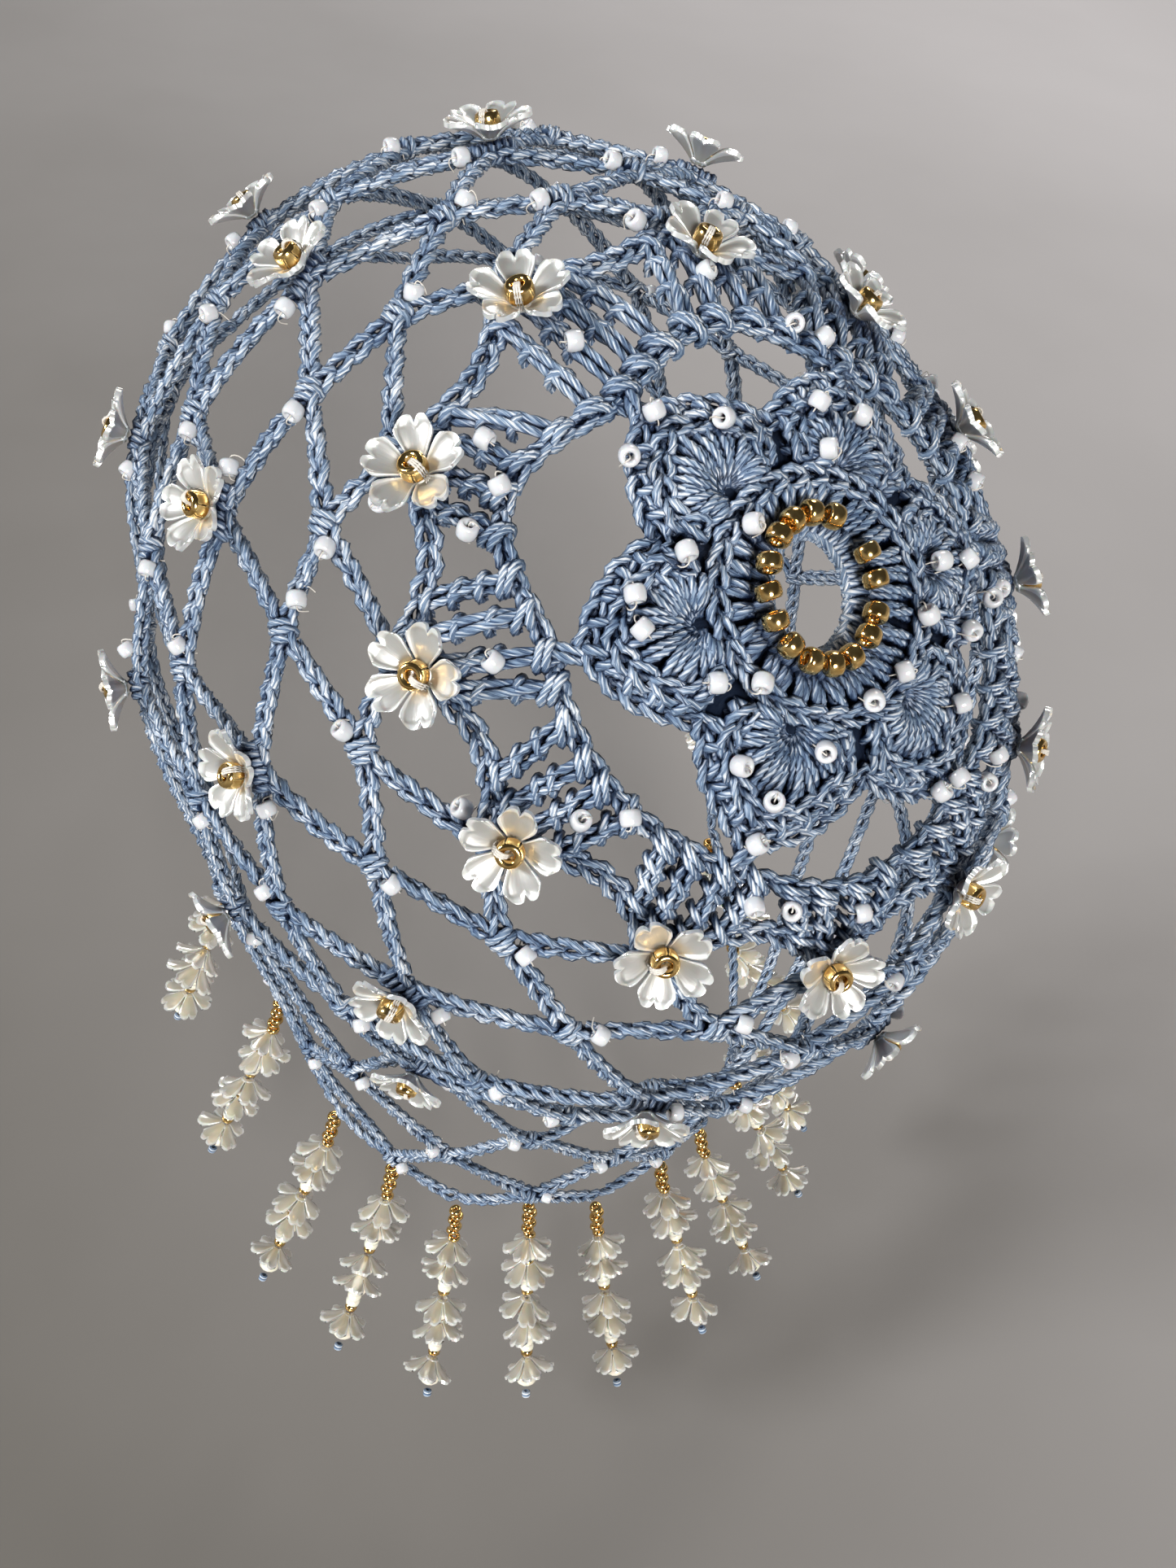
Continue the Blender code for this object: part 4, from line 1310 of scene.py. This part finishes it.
def gold_material():
    material, paint, shader = new_paint("polished_gold")
    wear = paint.noise(paint.place(), 700.0, 3.0)
    paint.feed(shader, {
        "Base Color": paint.ramp(wear, (0.3, (0.68, 0.40, 0.12)), (0.6, (0.92, 0.64, 0.26))),
        "Roughness": paint.remap(wear, 0.0, 1.0, 0.07, 0.22),
        "Metallic": 1.0,
    })
    return material


def thread_material():
    material, paint, shader = new_paint("pale_thread")
    twist = paint.noise(paint.uv(), 4.0)
    paint.feed(shader, {
        "Base Color": paint.ramp(twist, (0.0, (0.50, 0.46, 0.40)), (1.0, (0.82, 0.78, 0.72))),
        "Roughness": 0.6,
    })
    return material


# Stage, light and camera
CAMERA_SPOT = Vector((0.09944, 0.15666, 0.0798))
CAMERA_AZIMUTH = math.radians(36.546)
CAMERA_ELEVATION = math.radians(48.373)
CAMERA_ROLL = math.radians(10.028)
CAMERA_LENS = 28.02
FLOOR_LEVEL = -0.285
FLOOR_HALF = 3.0
FLOOR_STEPS = 4
LAMP_AIM = Vector((0.0, 0.0, -0.09))
# Colours of the room by height
SKY = ((0.44, (0.66, 0.64, 0.62)), (0.56, (0.62, 0.61, 0.60)), (0.70, (0.11, 0.115, 0.12)))


def make_camera():
    camera = bpy.data.objects.new("camera", bpy.data.cameras.new("camera"))
    bpy.context.scene.collection.objects.link(camera)
    back = Vector((
        math.sin(CAMERA_AZIMUTH) * math.cos(CAMERA_ELEVATION),
        math.cos(CAMERA_AZIMUTH) * math.cos(CAMERA_ELEVATION),
        math.sin(CAMERA_ELEVATION),
    ))
    aim = (-back).to_track_quat("-Z", "Y").to_matrix()
    camera.rotation_euler = (aim @ Matrix.Rotation(CAMERA_ROLL, 3, "Z")).to_euler()
    camera.location = CAMERA_SPOT
    camera.data.sensor_width = 36.0
    camera.data.lens = CAMERA_LENS
    camera.data.clip_start = 0.01
    camera.data.clip_end = 20.0
    bpy.context.scene.camera = camera


def make_floor():
    """A warm grey floor with painted shade: darker towards the wearer's left and slightly towards the nape,
    paler away from them, with some noise.
    """
    material, paint, shader = new_paint("studio_floor")
    place = paint.place()
    parts = paint.parts(place)
    # Painted shade: the floor's colour darkens towards the wearer's left, standing in for the room's light
    # falling off there
    painted_floor_falloff = paint.sum("MULTIPLY_ADD", paint.noise(place, 4.0, 4.0), 0.25, parts["X"])
    painted_floor_falloff = paint.remap(paint.sum("MULTIPLY_ADD", parts["Y"], 0.10, painted_floor_falloff), 0.36, -1.0)
    paint.feed(shader, {
        "Base Color": paint.ramp(painted_floor_falloff, (0.0, (0.115, 0.105, 0.090)), (1.0, (0.70, 0.665, 0.665))),
        "Roughness": 0.9,
    })
    reach = [FLOOR_HALF * (2.0 * step / FLOOR_STEPS - 1.0) for step in range(FLOOR_STEPS + 1)]
    points = [(x, y, FLOOR_LEVEL) for x in reach for y in reach]
    row = FLOOR_STEPS + 1
    starts = [row * i + j for i in range(FLOOR_STEPS) for j in range(FLOOR_STEPS)]
    faces = [(start, start + row, start + row + 1, start + 1) for start in starts]
    mesh = bpy.data.meshes.new("floor")
    mesh.from_pydata(points, [], faces)
    mesh.materials.append(material)
    floor = bpy.data.objects.new("floor", mesh)
    bpy.context.scene.collection.objects.link(floor)


def add_area(name, spot, size, power, colour):
    light = bpy.data.lights.new(name, "AREA")
    light.shape = "DISK"
    light.size = size
    light.energy = power
    light.color = colour
    lamp = bpy.data.objects.new(name, light)
    bpy.context.scene.collection.objects.link(lamp)
    lamp.location = spot
    lamp.rotation_euler = (LAMP_AIM - Vector(spot)).to_track_quat("-Z", "Y").to_euler()


def make_light():
    """Windows behind the wearer and at the left side, a weak one at the front right, and a dim room."""
    add_area("back_window", spot=(0.87, 2.90, 1.33), size=1.10, power=126.0, colour=(1.0, 0.985, 0.96))
    add_area("side_window", spot=(2.90, -1.015, 1.48), size=0.93, power=118.0, colour=(0.97, 0.985, 1.0))
    add_area("far_window", spot=(-2.32, -2.61, 2.50), size=1.45, power=42.0, colour=(1.0, 0.98, 0.95))
    world = bpy.data.worlds.new("studio")
    bpy.context.scene.world = world
    world.use_nodes = True
    paint = Paint(world.node_tree)
    height = paint.remap(paint.parts(paint.place("Generated"))["Z"], -1.0, 1.0)
    sky = paint.ramp(height, *SKY)
    paint.feed(world.node_tree.nodes["Background"], {"Color": sky, "Strength": 0.5})
    bpy.context.scene.view_settings.view_transform = "Standard"


def main():
    make_camera()
    make_floor()
    make_light()
    yarn = yarn_material("denim_yarn", *YARN_MARL_AND_SHEEN_COLOURS)
    shade = yarn_material("denim_yarn_shade", *SHADE_COLOURS)
    # Pearls: body colour, then the painted warm reflection at the petals' base; rim is the painted highlight
    # colour of their rims
    pearl = pearl_material("blossom_pearl", (0.57, 0.565, 0.545), (0.60, 0.555, 0.45),
                           roughness=0.34, metallic=0.60, coat=0.5, rim=(0.96, 0.96, 0.94))
    fringe_pearl = pearl_material("fringe_pearl", (0.74, 0.69, 0.57), (0.72, 0.62, 0.42), roughness=0.20,
                                  metallic=0.0, coat=0.9, rim=(0.93, 0.91, 0.86), clear=0.55)
    seed_pearl = pearl_material("seed_pearl", (0.62, 0.635, 0.66), (0.62, 0.635, 0.66),
                                roughness=0.22, metallic=0.0, coat=1.0)
    cream = pearl_material("cream_pearl", (0.84, 0.79, 0.66), (0.84, 0.79, 0.66),
                           roughness=0.20, metallic=0.0, coat=0.8)
    gold = gold_material()
    thread = thread_material()
    make_net_chains(yarn)
    make_net_knots(yarn)
    make_rosette(yarn, shade)
    make_band(yarn)
    make_bead_ring(gold)
    make_blossoms(pearl, gold, thread)
    make_seed_beads(seed_pearl, thread)
    make_fringe(fringe_pearl, cream, gold, yarn)


main()
